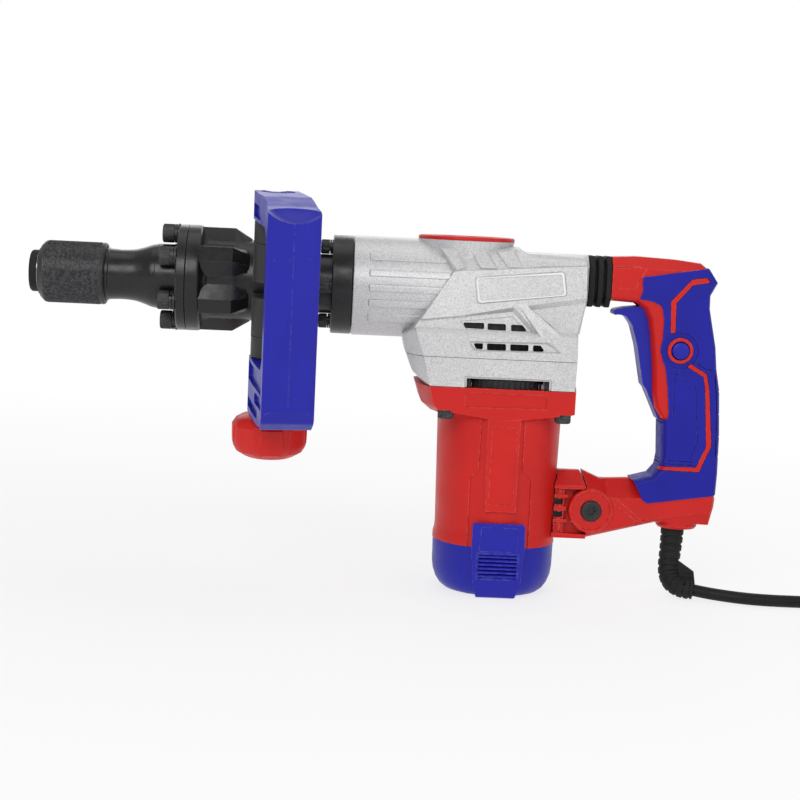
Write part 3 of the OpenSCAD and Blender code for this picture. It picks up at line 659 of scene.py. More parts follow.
RED = plastic("red_plastic", (0.56, 0.010, 0.007), (0.75, 0.25, 0.20), 0.40)
BLUE = plastic("blue_plastic", (0.010, 0.011, 0.33), (0.22, 0.22, 0.60), 0.40)
SOFT_BLUE = rubber("blue_rubber", (0.012, 0.013, 0.30), (0.16, 0.16, 0.50), 0.52)
GREY = plastic("grey_plastic", (0.032, 0.033, 0.031), (0.16, 0.16, 0.16), 0.48)
BLACK = plastic("black_plastic", (0.014, 0.014, 0.014), (0.10, 0.10, 0.10), 0.42)
RUBBER = rubber("black_rubber", (0.014, 0.014, 0.014), (0.10, 0.10, 0.10), 0.60)
CORD_SKIN = rubber("cord_rubber", (0.011, 0.011, 0.011), (0.07, 0.07, 0.07), 0.50)
SILVER = silver_paint()
BLACK_PAINT = black_metal("satin_black_paint", (0.010, 0.010, 0.011), 0.30, 1.4, (0.20, 0.20, 0.21))
BLACK_OXIDE = black_metal("black_oxide_steel", (0.022, 0.022, 0.024), 0.42, 0.6, (0.24, 0.24, 0.25))
STEEL = bare_metal("ground_steel", (0.50, 0.50, 0.51), 0.28, (0.2, 6, 6))
BRASS = bare_metal("commutator_copper", (0.62, 0.30, 0.13), 0.32, (6, 6, 0.3))
LAMINATED = stacked_sheets()
COPPER = wound_copper()
CARBON = plastic("graphite", (0.022, 0.022, 0.023), (0.09, 0.09, 0.09), 0.55)
WHITE_INK = plastic("white_rim", (0.80, 0.80, 0.80), (0.55, 0.55, 0.55), 0.45)

LOOK_OF = {
    "black_steel": BLACK_OXIDE, "steel": STEEL, "black_paint": BLACK_PAINT, "silver_paint": SILVER,
    "red_plastic": RED, "blue_plastic": BLUE, "blue_rubber": SOFT_BLUE, "grey_plastic": GREY,
    "black_plastic": BLACK, "black_rubber": RUBBER, "copper": COPPER, "laminated_steel": LAMINATED,
    "carbon": CARBON}


def dress_cad_nodes():
    """Gives every CAD node the procedural look of its material slot."""
    for row in frame["record"]["subparts"]:
        obj = frame["nodes"][row["node"]]
        look = BRASS if row["node"] in ("commutator", "brush_holders") else LOOK_OF[row["material_slot"]]
        obj.data.materials.clear()
        obj.data.materials.append(look)


# Cord, first because its place limits the rest. Metres.

CORD_D = 0.0084
CORD_START = [
    (0.469, -0.016, -0.2022), (0.480, -0.0205, -0.2032), (0.492, -0.024, -0.204), (0.506, -0.027, -0.2046),
    (0.520, -0.0288, -0.2048), (0.536, -0.0295, -0.2048), (0.553, -0.0295, -0.2048),
    (0.570, -0.0295, -0.2048), (0.587, -0.0295, -0.2048)]
CORD_TAIL = [(0.596, -0.1475, -0.1962), (0.588, -0.1475, -0.1952), (0.580, -0.1475, -0.1942)]
COIL_CENTRE = (0.604, -0.0885)
COIL_OUTER_R = 0.059
COIL_TURNS_A_LAYER = 3
COIL_STEPS = 24
LAYER_Z = (-0.2048, -0.1964)


def coil_route():
    """Two flat layers: inward on the floor, half a turn up at the core, outward on top."""
    points = []
    layer_steps = COIL_TURNS_A_LAYER * COIL_STEPS
    climb_steps = COIL_STEPS // 2
    core_r = COIL_OUTER_R - COIL_TURNS_A_LAYER * CORD_D
    for i in range(2 * layer_steps + climb_steps + 1):
        angle = math.pi / 2 - 2 * math.pi * i / COIL_STEPS
        if i <= layer_steps:
            r, z = COIL_OUTER_R - CORD_D * i / COIL_STEPS, LAYER_Z[0]
        elif i < layer_steps + climb_steps:
            share = (i - layer_steps) / climb_steps
            r, z = core_r, LAYER_Z[0] + (LAYER_Z[1] - LAYER_Z[0]) * share * share * (3 - 2 * share)
        else:
            r, z = core_r + CORD_D * (i - layer_steps - climb_steps) / COIL_STEPS, LAYER_Z[1]
        points.append((COIL_CENTRE[0] + r * math.cos(angle), COIL_CENTRE[1] + r * math.sin(angle), z))
    return points


def make_cord():
    """The cord and its coil as one run, which rides on the rear handle."""
    route = CORD_START + coil_route() + CORD_TAIL
    data = bpy.data.curves.new("power_cord_run", "CURVE")
    data.dimensions = "3D"
    data.bevel_depth = CORD_D / 2
    data.bevel_resolution = 5
    data.resolution_u = 4
    data.use_fill_caps = True
    spline = data.splines.new("BEZIER")
    spline.bezier_points.add(len(route) - 1)
    for point, place in zip(spline.bezier_points, route):
        point.co = place
        point.handle_left_type = point.handle_right_type = "AUTO"
    data.materials.append(CORD_SKIN)
    obj = bpy.data.objects.new("power_cord_run", data)
    bpy.context.scene.collection.objects.link(obj)
    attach(obj, "rear_handle")
    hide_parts("power_cord", "cord_coil")
    return obj


def ring_tube(route, sections, sides=32):
    """Rings square to a smooth route, with a radius from sections for each of its points."""
    rings = []
    across = None
    for i, here in enumerate(route):
        ahead = (route[min(i + 1, len(route) - 1)] - route[max(i - 1, 0)]).normalized()
        across = Vector((0, 1, 0)) if across is None else across
        across = (across - ahead * across.dot(ahead)).normalized()
        over = ahead.cross(across)
        rings.append([
            here + (across * math.cos(2 * math.pi * k / sides) + over * math.sin(2 * math.pi * k / sides))
            * sections[i] for k in range(sides)])
    return rings


def make_plug():
    """Round two-pin plug lying on the floor beside the coil, its pins towards the object."""
    low, high = span("plug")
    axis = Vector((0, (low.y + high.y) / 2, (low.z + high.z) / 2))
    back = high.x
    stations = [
        (0, 4.4), (0, 6.2), (3, 6.6), (3.4, 5.9), (4.4, 5.9), (4.8, 7.2), (7, 7.7), (7.4, 7.0), (8.4, 7.0),
        (8.8, 8.6), (11, 9.2), (13.5, 11.5), (16, 13.6), (19, 14.4), (22, 14.8), (37, 14.8), (39, 14.2),
        (40, 12.8), (40, 0)]
    ridges = [(back - at, radius) for at, radius in stations]
    body = solid(moved(turned([(back, 0)] + ridges, steps=72), Matrix.Translation(axis)))
    grips = [
        solid(moved(extruded(rounded([(-1.1, -9), (1.1, -9), (1.1, 9), (-1.1, 9)], 1), "Z", 13.6, 16),
                    Matrix.Translation(axis + Vector((back - 24 - 4 * i, 0, 0)))
                    @ Matrix.Rotation(side * math.pi / 2, 4, "X")))
        for i in range(4) for side in (-1, 1)]
    body = cut(body, *grips)
    plug = piece(body, "mains_plug", "rear_handle", BLACK, ("plug",), 0.35)
    pin = [(40 - 0.5, 2.4), (57, 2.4), (58.6, 1.9), (59, 1.2), (59, 0)]
    pins = together(*[
        moved(turned([(back - 39, 0)] + [(back - at, r) for at, r in pin], steps=32),
              Matrix.Translation(axis + Vector((0, side * 9.5, 0)))) for side in (-1, 1)])
    pins = piece(solid(pins), "plug_pins", "rear_handle", STEEL, edge=0)
    return plug, pins


# Crank housing and what is fixed to it

HOUSING_SEAM = -43.8
NECK_BOLT_R = 25.6


def side_face(point):
    """Half width of the housing's big slanted side."""
    return 33.5 + (24 - point[1]) * 0.135


def low_face(_):
    """Half width of the wide lower half, the same all over."""
    return 43.5


def roof_face(point):
    """Half width of the slanted roof between the side's ridge and the boss."""
    return 34.3 - (point[1] - 16.5) * 0.66


def relief(face, rim, end, height):
    """A pad (height above 0) or a pocket's cutter (below 0) on the near side, with sloped walls.

    rim is its outline in the face, end is its outline at that height, both as (x, z).
    """
    root = [(r[0] + (r[0] - e[0]), r[1] + (r[1] - e[1])) for r, e in zip(rim, end)]
    start = [(x, -(face((x, z)) - height), z) for x, z in root]
    stop = [(x, -(face((x, z)) + height), z) for x, z in end]
    return loft([start, stop])


def both(bm):
    """An object with a near-side shape and its mirror image."""
    return solid(together(mirrored(bm), bm))


def grown(outline, by):
    """An outline scaled about its middle so that it grows by about that much each way."""
    xs, zs = [p[0] for p in outline], [p[1] for p in outline]
    cx, cz = (min(xs) + max(xs)) / 2, (min(zs) + max(zs)) / 2
    sx = 1 + 2 * by / (max(xs) - min(xs))
    sz = 1 + 2 * by / (max(zs) - min(zs))
    return [(cx + (x - cx) * sx, cz + (z - cz) * sz) for x, z in outline]


def slot_cutter(outline, near, far):
    """A straight cut through a side wall between two half widths."""
    return both(extruded(rounded(outline, 0.9, 3), "Y", -far, -near))


def crank_mechanism_room():
    """The space the cylinder, crank and gears move in."""
    at_crank, at_motor = (CRANK_X, 0), (MOTOR_X, 0)
    return [
        spun([(219, 0), (219, 19.06), (258, 19.06), (258, 0)]),
        block([(250, -17), (CRANK_X, -17), (CRANK_X, 17), (250, 17)], "Z", -15, 15),
        block([(318, -8), (MOTOR_X, -8), (MOTOR_X, 8), (318, 8)], "Z", -28, -10),
        spun([(-50, 0), (-50, 11), (-38, 11), (-38, 17.1), (-28, 17.1), (-28, 27), (14, 27), (14, 26),
              (37, 26), (37, 0)], "Z", at_crank),
        spun([(-50, 0), (-50, 6.6), (-26, 6.6), (-26, 8), (-10, 8), (-10, 0)], "Z", at_motor)]


def barrel_ribs():
    """Five raised bands along each side of the barrel, ending at the side's front wall."""
    bands = [(23.2, 18.1, 286), (13.0, 7.8, 287), (3.0, -2.1, 283), (-6.9, -12.3, 276), (-17.2, -22.3, 268)]
    parts = []
    for top, bottom, end in bands:
        a, b = math.asin(top / 34.3), math.asin(bottom / 34.3)
        for side in (-1, 1):
            def point(x, angle, r, side=side):
                return (x, side * r * math.cos(angle), r * math.sin(angle))
            inner = [point(231.5, a, 33.5), point(end, a, 33.5), point(end, b, 33.5), point(231.5, b, 33.5)]
            tip = [point(233, a - 0.03, 35.3), point(end, a - 0.03, 35.3), point(end, b + 0.004, 35.5),
                   point(233, b + 0.004, 35.5)]
            parts.append(hull(inner + tip + [point(233, (a + b) / 2, 35.6), point(end, (a + b) / 2, 35.6)]))
    return [solid(bm) for bm in parts]


def housing_sides():
    """The slanted sides, the roof and the snout that the bellows sits on."""
    side = hull(both_sides([
        (289.6, 34.9, 13.6), (379.6, 33.9, 21), (264.7, 40.2, -25.2), (373.2, 40.2, -25.2),
        (379.8, 36.9, -0.6), (260, 19.5, -28.6), (287, 31.5, 11.8), (382.8, 17, 19), (383, 17, -2),
        (378, 24, -26), (376.5, 36, -8)]))
    snout = hull(both_sides([
        (383.2, 16.4, 21), (383.2, 16.4, -2.2), (383.2, 9.5, 28), (383.2, 9.5, -8.6), (366, 30, 20),
        (366, 30, -6), (366, 12, 28), (366, 12, -12)]))
    roof = hull(both_sides([
        (289.4, 34.6, 14.2), (347.2, 33.9, 19.6), (280.5, 23.2, 30), (338, 25.5, 28.6), (334, 16, 31.6),
        (286, 12, 31.4), (289, 30, 10), (346, 30, 10)]))
    back = hull(both_sides([
        (336, 33.2, 19.1), (379.4, 33.3, 21.6), (336, 29.5, 24.6), (379, 29, 25.2), (336, 22.5, 27.6),
        (378.5, 22, 27.4), (336, 0, 28.6), (378.5, 0, 27.9), (336, 28, 10), (379, 28, 10)]))
    boss = turned([(12, 0), (12, 28.8), (24, 29.3), (30, 31.4), (33.9, 33.4), (34.4, 33.4), (34.4, 0)], "Z",
                  (CRANK_X, 0))
    return [solid(bm) for bm in (side, snout, roof, back, boss)]


def roof_fins():
    """A block behind the boss's front wall and two louvre fins on each side of the roof."""
    ridge = relief(roof_face, [(279.6, 29.6), (291.5, 28.4), (297.6, 16.4), (289.8, 14.0)],
                   [(280.4, 28.6), (289.5, 27.6), (295.2, 16.2), (290.6, 15.2)], 1.7)
    first = relief(roof_face, [(301.2, 27.6), (311.5, 29.2), (319, 17.0), (306.8, 16.4)],
                   [(301.7, 26.9), (310.2, 28.2), (317.2, 17.0), (307.3, 16.7)], 1.9)
    second = relief(roof_face, [(318.2, 28.9), (330.2, 29.6), (337.2, 18.4), (324.9, 17.9)],
                    [(318.7, 28.1), (328.9, 28.7), (335.4, 18.4), (325.4, 18.1)], 1.9)
    return [both(bm) for bm in (ridge, first, second)]


def side_recesses():
    """The triangular recess with its strap side, the hollow behind the strap and the badge's bed."""
    triangle = relief(
        side_face, [(262, -20.2), (330.8, -8.7), (352.5, -30), (262, -30)],
        [(262, -20.8), (330.2, -11.9), (348.2, -30), (262, -30)], -2.7)
    behind = relief(
        side_face, [(339.5, -7.3), (392, 1.6), (392, -30), (368, -30)],
        [(344.0, -10.1), (392, -1.8), (392, -30), (366.5, -30)], -3.0)
    return [both(triangle), both(behind)]


BADGE = [(303.4, 10.4), (364.6, 17.1), (366.8, 0.4), (305.6, -7.8)]


def lower_block():
    """The wide lower half with its sloped shelf and chamfered ends."""
    front = [(264.9, 40.2, -25.2), (265.6, 43.5, -28), (271, 43.8, HOUSING_SEAM), (256.6, 21, -31),
             (259.8, 25, HOUSING_SEAM), (259.8, 19.5, -28)]
    rear = [(373.3, 40.2, -25), (374.4, 43.5, -27.6), (374.9, 43.8, HOUSING_SEAM), (377, 26, -27.6),
            (377.4, 26, HOUSING_SEAM), (376, 26, -25), (380, 4, -28.2), (380.5, 4, HOUSING_SEAM)]
    return solid(hull(both_sides(front + rear)))


def strap():
    """The band that runs down from the side face to the lower block."""
    return solid(together(*[
        hull([(x, side * y, z) for x, y, z in [
            (333.4, 37.7, -6.3), (339.4, 37.9, -6.9), (350.2, 43.6, -28.2), (364.0, 43.6, -27.9),
            (333.4, 34, -6.3), (341.6, 34, -8.3), (350.2, 36, -30), (363.4, 36, -30), (332.6, 34, -9.5)]])
        for side in (-1, 1)]))


UPPER_VENTS = [
    [(296.8, -20.5), (311.3, -20.2), (311.5, -24.5), (298.6, -24.3)],
    [(313.6, -20.4), (326.1, -20.4), (326.3, -24.9), (313.8, -24.8)],
    [(329.5, -20.5), (337.3, -20.6), (341.0, -24.9), (329.8, -25.0)]]
LOWER_VENTS = [
    [(304.1, -33.8), (310.7, -33.7), (310.9, -37.7), (306.2, -37.6)],
    [(313.4, -33.6), (326.2, -33.5), (326.5, -38.0), (313.6, -38.1)],
    [(329.1, -33.5), (341.6, -33.4), (341.8, -37.7), (329.4, -37.9)],
    [(344.6, -33.4), (349.8, -33.5), (352.9, -37.6), (344.8, -37.8)]]


def vents():
    """Vent slots with their sunk surrounds, and the room behind them."""
    panel = [(294.6, -19.6), (330.2, -14.9), (342.6, -26.5), (300.5, -26.2)]
    upper = relief(lambda p: side_face(p) - 2.7, panel, grown(panel, -0.5), -0.9)
    bed = [(301.2, -32.6), (354.4, -31.2), (363.6, -38.2), (304.6, -39.0)]
    lower = relief(low_face, bed, grown(bed, -1.3), -1.6)
    slots = [slot_cutter(outline, 32, 50) for outline in UPPER_VENTS + LOWER_VENTS]
    room = extruded([(295.5, -45.5), (358, -45.5), (356, -29.5), (344, -17), (295.5, -17)], "Y", -33.4,
                    -31.4)
    deep = extruded([(300, -42), (357, -42), (357, -30), (300, -30)], "Y", -41.3, -31.4)
    return [both(upper), both(lower), both(room), both(deep)] + slots


def make_crank_housing():
    """The silver casting with its fins, ribs and vents, and the badge's blank rim."""
    barrel = turned([(221.7, 19.06), (221.7, 34.0), (222.1, 34.4), (300, 34.3), (300, 19.06)], looped=True)
    body = joined(solid(barrel), *housing_sides())
    body = cut(body, *side_recesses())
    body = joined(body, lower_block(), strap(), *roof_fins(), *barrel_ribs())
    body = cut(body, *vents())
    body = cut(body, both(relief(side_face, rounded(BADGE, 2), rounded(grown(BADGE, -0.5), 2), -0.7)))
    screw_holes = [
        spun([(219, 0), (219, 3.1), (235, 3.1), (235, 0)], "X", place)
        for place in circle(NECK_BOLT_R, 4, first=math.pi / 2)]
    spring_seat = spun([(381, 0), (381, 12), (389, 12), (389, 0)], "X", (0, 10))
    body = cut(body, spring_seat, *crank_mechanism_room(), *screw_holes)
    return piece(body, "crank_housing_shell", "hammer", SILVER, ("crank_housing",), 0.7, 3)


def make_badge_rims():
    """A blank badge plate with a pale raised rim on each side."""
    outer, inner = rounded(grown(BADGE, -0.9), 2), rounded(grown(BADGE, -2.3), 1.6)
    rim = loft([
        [(x, -(side_face((x, z)) + level), z) for x, z in outline]
        for outline, level in ((outer, -1.2), (outer, 0.5), (inner, 0.5), (inner, -1.2))], looped=True)
    piece(both(rim), "badge_rims", "hammer", WHITE_INK, edge=0.25)
    plate = loft([
        [(x, -(side_face((x, z)) + level), z) for x, z in inner] for level in (-1.4, -0.35)])
    piece(both(plate), "badge_plates", "hammer", SILVER, edge=0)


def make_air_guides():
    """Dark ribbed plates behind the vents."""
    plate = extruded([(296, -45), (357.5, -45), (355.6, -30), (343.6, -17.5), (296, -17.5)], "Y", -32.6,
                     -31.5)
    ribs = [extruded([(x, -44), (x + 1, -44), (x + 1, -19), (x, -19)], "Y", -33.1, -32.4)
            for x in range(299, 342, 5)]
    piece(solid(together(mirrored(plate), plate, *[mirrored(r) for r in ribs], *ribs)), "air_guides",
          "hammer", BLACK, edge=0)


def make_inner_housing():
    """The casting between the crank housing and the motor's flange."""
    seam = HOUSING_SEAM - 0.35
    front = [(271.2, 43.6, seam), (260.2, 25, seam), (274.2, 43.9, -57.5), (276.4, 43.9, -63.8),
             (264.6, 26, -55.6), (270, 28, -60), (273.4, 30, -63.8)]
    rear = [(374.9, 43.6, seam), (377.4, 26, seam), (374.4, 43.9, -63.8), (377, 26, -63.8),
            (380.5, 4, seam), (380, 4, -63.8)]
    body = solid(hull(both_sides(front + rear)))
    window = [(301, -57.7), (357, -57.7), (357, -67), (301, -67)]
    surround = [(299.2, -56.2), (358.8, -56.2), (358.8, -67), (299.2, -67)]
    sunk = relief(lambda p: 43.95, surround, [(300.4, -57.2), (357.6, -57.2), (357.6, -67), (300.4, -67)],
                  -1.3)
    rooms = [
        spun([(-67, 0), (-67, 38.1), (-60, 38.1), (-60, 13.1), (-51, 13.1), (-51, 6.6), (-40, 6.6),
              (-40, 0)], "Z", MOTOR_AXIS),
        spun([(-56.2, 0), (-56.2, 13.1), (-40, 13.1), (-40, 0)], "Z", (CRANK_X, 0)),
        both(extruded([(302, -22), (354, -22), (354, -36), (302, -36)], "Z", -60.5, -40)),
        both(extruded(window, "Y", -50, -34)), both(sunk)]
    body = cut(body, *rooms)
    return piece(body, "inner_housing_casting", "hammer", SILVER, ("inner_housing",), 0.7, 3)


def make_top_cover():
    """Red lid on the crank's boss, with a shallow dish and four sunk screws."""
    centre = (CRANK_X, 0)
    lid = spun([(30.2, 22), (30.2, 25.8), (34.5, 25.8), (34.5, 33.2), (36.0, 33.4), (37.0, 32.6),
                (37.35, 30.8), (37.1, 28.4), (36.5, 27.6), (36.4, 16), (36.7, 14.5), (36.7, 0),
                (33, 0), (33, 22)], "Z", centre)
    hollows = [
        spun([(35.4, 0), (35.4, 3), (39, 3), (39, 0)], "Z", place, steps=40)
        for place in circle(22, 4, centre, math.pi / 4)]
    lid = cut(lid, *hollows)
    piece(lid, "top_cover_lid", "hammer", RED, ("top_cover",), 0.35)
    heads = [
        cross_screw("Z", place, 35.45, 2.6, 1.1) for place in circle(22, 4, centre, math.pi / 4)]
    piece(joined(*heads), "top_cover_screws", "hammer", BLACK_OXIDE, edge=0.15)


def cross_screw(axis, centre, base, radius, height):
    """A pan-head screw's head with a cross recess, its top up the axis."""
    head = spun([(base - 0.4, 0), (base - 0.4, radius), (base + height * 0.5, radius),
                 (base + height * 0.85, radius * 0.8), (base + height, radius * 0.4),
                 (base + height, 0)],
                axis, centre, steps=36)
    arm, top = radius * 0.16, base + height
    crosses = []
    for a, b in ((radius * 0.62, arm), (arm, radius * 0.62)):
        outline = [(centre[0] + u * a, centre[1] + v * b) for u, v in ((-1, -1), (1, -1), (1, 1), (-1, 1))]
        crosses.append(block(outline, axis, top - height * 0.7, top + 1))
    return cut(head, *crosses)


# Nose, flanges and what bolts them together

NOSE_BOLT_R = 29.8
KNURL_TEETH = 88
KNURL_PITCH = 1.5


def make_front_ring():
    """The lip at the very front."""
    profile = [(0, 12), (0, 12.9), (0.35, 13.5), (1.1, 14.1), (1.8, 14.3), (5.1, 14.3), (5.5, 14.0),
               (5.5, 11.95), (1, 11.95)]
    ring = spun(profile, looped=True)
    piece(ring, "front_ring_lip", "hammer", RUBBER, ("front_ring",), 0.2)


def knurled_band(low, high, radius, depth):
    """Diamond knurling between two stations: crossing rows of small pyramids."""
    def wave(t):
        return 1 - abs(2 * (t % 1) - 1)
    bm = bmesh.new()
    around = 4 * KNURL_TEETH
    step = KNURL_PITCH / 4
    rows = int((high - low) / step)
    grid = []
    for i in range(rows + 1):
        x = low + i * step
        ends = min(1.0, i / 4, (rows - i) / 4)
        row = []
        for k in range(around):
            turn = KNURL_TEETH * k / around
            rise = min(wave(turn + i / 4), wave(turn - i / 4)) * ends
            r = radius + depth * rise
            angle = 2 * math.pi * k / around
            row.append(bm.verts.new((x, r * math.cos(angle), r * math.sin(angle))))
        grid.append(row)
    for a, b in zip(grid, grid[1:]):
        for k in range(around):
            bm.faces.new((a[k], a[(k + 1) % around], b[(k + 1) % around], b[k]))
    return bm, grid[0][0].co.x, grid[-1][0].co.x


def make_chuck_sleeve():
    """The locking sleeve with its knurled band."""
    band, start, end = knurled_band(10.6, 49.4, 20.95, 0.5)
    body = turned([
        (6, 14.4), (6, 15.8), (6.4, 16.2), (7.2, 16.3), (7.3, 17.8), (7.8, 18.4), (10.2, 20.9),
        (start, 20.95), (start, 20.4), (end, 20.4), (end, 20.95), (49.9, 21.3), (50.8, 21.2), (51.7, 20.5),
        (52, 19.6), (52, 18.6), (36, 18.6), (36, 16.4), (25, 16.4), (25, 18), (14, 18), (14, 14.4)],
                  steps=128, looped=True)
    sleeve = solid(together(body, band))
    piece(sleeve, "chuck_sleeve_knurled", "sleeve", BLACK_OXIDE, ("chuck_sleeve",), 0)


def make_nose_housing():
    """The black nose casting with its flange and six screw holes."""
    waist = smooth_line([(54.6, 17.5), (60, 17.2), (66, 17.2), (72, 17.9), (78, 19.6), (83, 21.4),
                         (86.4, 22.0)], 4)
    profile = [(49, 14.25), (49, 17.7), (49.4, 18.1), (53.6, 18.1),
               (54.1, 17.6)] + [tuple(p) for p in waist] + [
        (87, 22.3), (97, 22.4), (100.6, 23.0), (101.5, 24.4), (101.5, 35.6), (102.3, 36.4), (107.6, 36.4),
        (107.95, 36.0), (107.95, 17.6), (100, 17.6), (100, 14.25)]
    body = spun(profile, steps=128, looped=True)
    holes = [
        spun([(100, 0), (100, 4.2), (109, 4.2), (109, 0)], "X", place, steps=32)
        for place in circle(NOSE_BOLT_R, 6, first=math.pi / 2)]
    body = cut(body, *holes)
    piece(body, "nose_casting", "hammer", BLACK_PAINT, ("nose_housing",), 0.3)


def socket_screw(head_r, front, head_len, shank_r, shank_end, socket):
    """A socket-head screw along X with a fluted head."""
    flutes = 44

    def star(x, outer, dip):
        points = []
        for i in range(2 * flutes):
            angle = math.pi * i / flutes
            r = outer - (dip if i % 2 else 0)
            points.append((x, r * math.cos(angle), r * math.sin(angle)))
        return points
    rings = [star(front, head_r * 0.86, 0), star(front + 0.5, head_r * 0.96, 0),
             star(front + 1, head_r, 0.25), star(front + head_len - 0.5, head_r, 0.25),
             star(front + head_len, head_r * 0.97, 0)]
    head = solid(loft(rings))
    hexagon = circle(socket / math.cos(math.pi / 6) / 2, 6, first=0.4)
    head = cut(head, block(hexagon, "X", front - 1, front + head_len * 0.6))
    shank = turned([(front + head_len - 0.1, 0), (front + head_len - 0.1, shank_r), (shank_end, shank_r),
                    (shank_end, 0)], steps=24)
    bm = bmesh.new()
    bm.from_mesh(head.data)
    bpy.data.objects.remove(head)
    bmesh.ops.transform(bm, matrix=Matrix.Scale(1 / MM, 4), verts=bm.verts)
    return together(bm, shank)


def around_barrel(bm, count, radius, spin=0.6):
    """Copies of a shape on the X axis, on a circle about it, each turned a little differently."""
    copies = []
    for i, (y, z) in enumerate(circle(radius, count, first=math.pi / 2)):
        twist = Matrix.Rotation(spin * i, 4, "X")
        copies.append(moved(bm.copy(), Matrix.Translation((0, y, z)) @ twist))
    bm.free()
    return together(*copies)


def spring_washer(inner, outer, low, high):
    """A split washer with its ends a little apart and sprung."""
    steps, rise = 30, (high - low) * 0.22
    rings = []
    for i in range(steps + 1):
        angle = math.radians(8) + (2 * math.pi - math.radians(16)) * i / steps
        lift = rise * (i / steps - 0.5)
        corners = [(low + rise / 2 + lift, inner), (low + rise / 2 + lift, outer),
                   (high - rise / 2 + lift, outer), (high - rise / 2 + lift, inner)]
        rings.append([(x, r * math.cos(angle), r * math.sin(angle)) for x, r in corners])
    return loft(rings)


def make_bolts():
    """The screws of the nose flange and the neck flange, and their washers."""
    heads = around_barrel(socket_screw(6.45, 89.5, 8, 4, 119.5, 6), 6, NOSE_BOLT_R)
    piece(solid(heads), "nose_flange_bolts", "hammer", BLACK_OXIDE, ("nose_bolts",), 0)
    heads = around_barrel(socket_screw(5, 198.6, 6, 3, 228, 5), 4, NECK_BOLT_R)
    piece(solid(heads), "neck_flange_bolts", "hammer", BLACK_OXIDE, ("neck_bolts",), 0)
    rings = [
        around_barrel(spring_washer(4.1, 6.5, 97.7, 99.9), 6, NOSE_BOLT_R, 1.3),
        around_barrel(turned([(100.1, 4.2), (100.1, 6.9), (101.5, 6.9), (101.5, 4.2)], steps=48,
                             looped=True), 6, NOSE_BOLT_R),
        around_barrel(spring_washer(3.1, 5.0, 204.7, 206.2), 4, NECK_BOLT_R, 1.3),
        around_barrel(turned([(206.2, 3.1), (206.2, 5.1), (207, 5.1), (207, 3.1)], steps=48, looped=True), 4,
                      NECK_BOLT_R)]
    piece(solid(together(*rings)), "split_washers", "hammer", BLACK_OXIDE,
          ("spring_washers",), 0)


def lobe(angle):
    """One of the six flat-topped ridges behind the flange."""
    def section(x, top, half, foot, radius):
        return [(x, -foot, radius), (x, -half, top), (x, half, top), (x, foot, radius)]
    points = section(116, 35.3, 5.6, 12.6, 27) + section(139.5, 35.3, 5.4, 12.2, 27)
    points += section(151, 28.4, 4.2, 9.0, 25)
    bm = hull([(x, t, r) for x, t, r in points])
    return moved(bm, Matrix.Rotation(angle - math.pi / 2, 4, "X"))


def make_cylinder_case():
    """The black casting between the two flanges, with six lobes for the nose screws."""
    profile = [
        (108.1, 19.05), (108.1, 36.0), (108.5, 36.4), (115.4, 36.4), (116.8, 36.0), (117.8, 35.0),
        (118.3, 33.6), (119.3, 31.7), (121.2, 30.3), (124, 29.6), (139, 29.5), (141, 29.2), (150, 27.9),
        (187.4, 27.9), (188, 27.4), (188, 21.6), (189.2, 20.4), (207, 20.4), (207, 33.2), (207.8, 34),
        (220.6, 34), (221.4, 33.4), (221.4, 19.05)]
    body = spun(profile, steps=128, looped=True)
    body = joined(body, *[solid(lobe(math.pi / 2 + i * math.pi / 3)) for i in range(6)])
    holes = [
        spun([(107, 0), (107, 4.1), (136, 4.1), (136, 0)], "X", place, steps=24)
        for place in circle(NOSE_BOLT_R, 6, first=math.pi / 2)]
    holes += [
        spun([(206, 0), (206, 3.1), (223, 3.1), (223, 0)], "X", place, steps=24)
        for place in circle(NECK_BOLT_R, 4, first=math.pi / 2)]
    holes.append(spun([(107, 0), (107, 19.05), (223, 19.05), (223, 0)], steps=128))
    body = cut(body, *holes)
    piece(body, "cylinder_case_casting", "hammer", BLACK_PAINT, ("cylinder_case",), 0.7, 3)


# Motor housing and its end cap

FACET_ANGLES = (-34, -12, -6, 0, 6, 12, 34)
PANEL_Y = 42.9
TAB_Y = 43.4


def facet_ring(radius, z):
    """A round section with flats on its near and far sides, as a ring of points."""
    ring = []
    for turn in (0, 180):
        angles = list(FACET_ANGLES) + list(range(40, 141, 5))
        for a in angles:
            angle = math.radians(a + turn)
            ring.append((MOTOR_X + radius * math.sin(angle), -radius * math.cos(angle), z))
    return ring


def motor_tube(drawn_in):
    """The faceted tube of the motor housing, drawn in by an amount."""
    stations = [(-76, 43.3), (-90, 43.1), (-130, 42.2), (-162.5, 41.5), (-166.5, 41.8), (-169.2, 42.6),
                (-173.6, 42.8)]
    return loft([facet_ring(radius - drawn_in, z) for z, radius in stations])


def beside_motor(outline):
    """An outline given as (x from the motor's axis, z)."""
    return [(MOTOR_X + p[0], *p[1:]) for p in outline]


def side_prism(outline, near, far):
    """An outline on both sides of the object, between two half widths."""
    return both(extruded(outline, "Y", -far, -near))


MIDDLE_ZONE = [(-15, -70), (-15.6, -120.6), (-21, -126.4), (-20.6, -182), (21.4, -182), (21.2, -125.6),
               (14.4, -119.6), (14, -70)]
PANEL = [(-11.3, -83), (11.1, -83), (10.8, -148.2), (-10, -148.2)]
INNER_PANEL = [(-7.8, -90.4), (9.2, -90.4), (8.6, -143.3), (-8.0, -143.3)]
TAB = [(-18, -180), (-18, -156.3, 2.4), (18, -156.3, 2.4), (18.3, -180)]


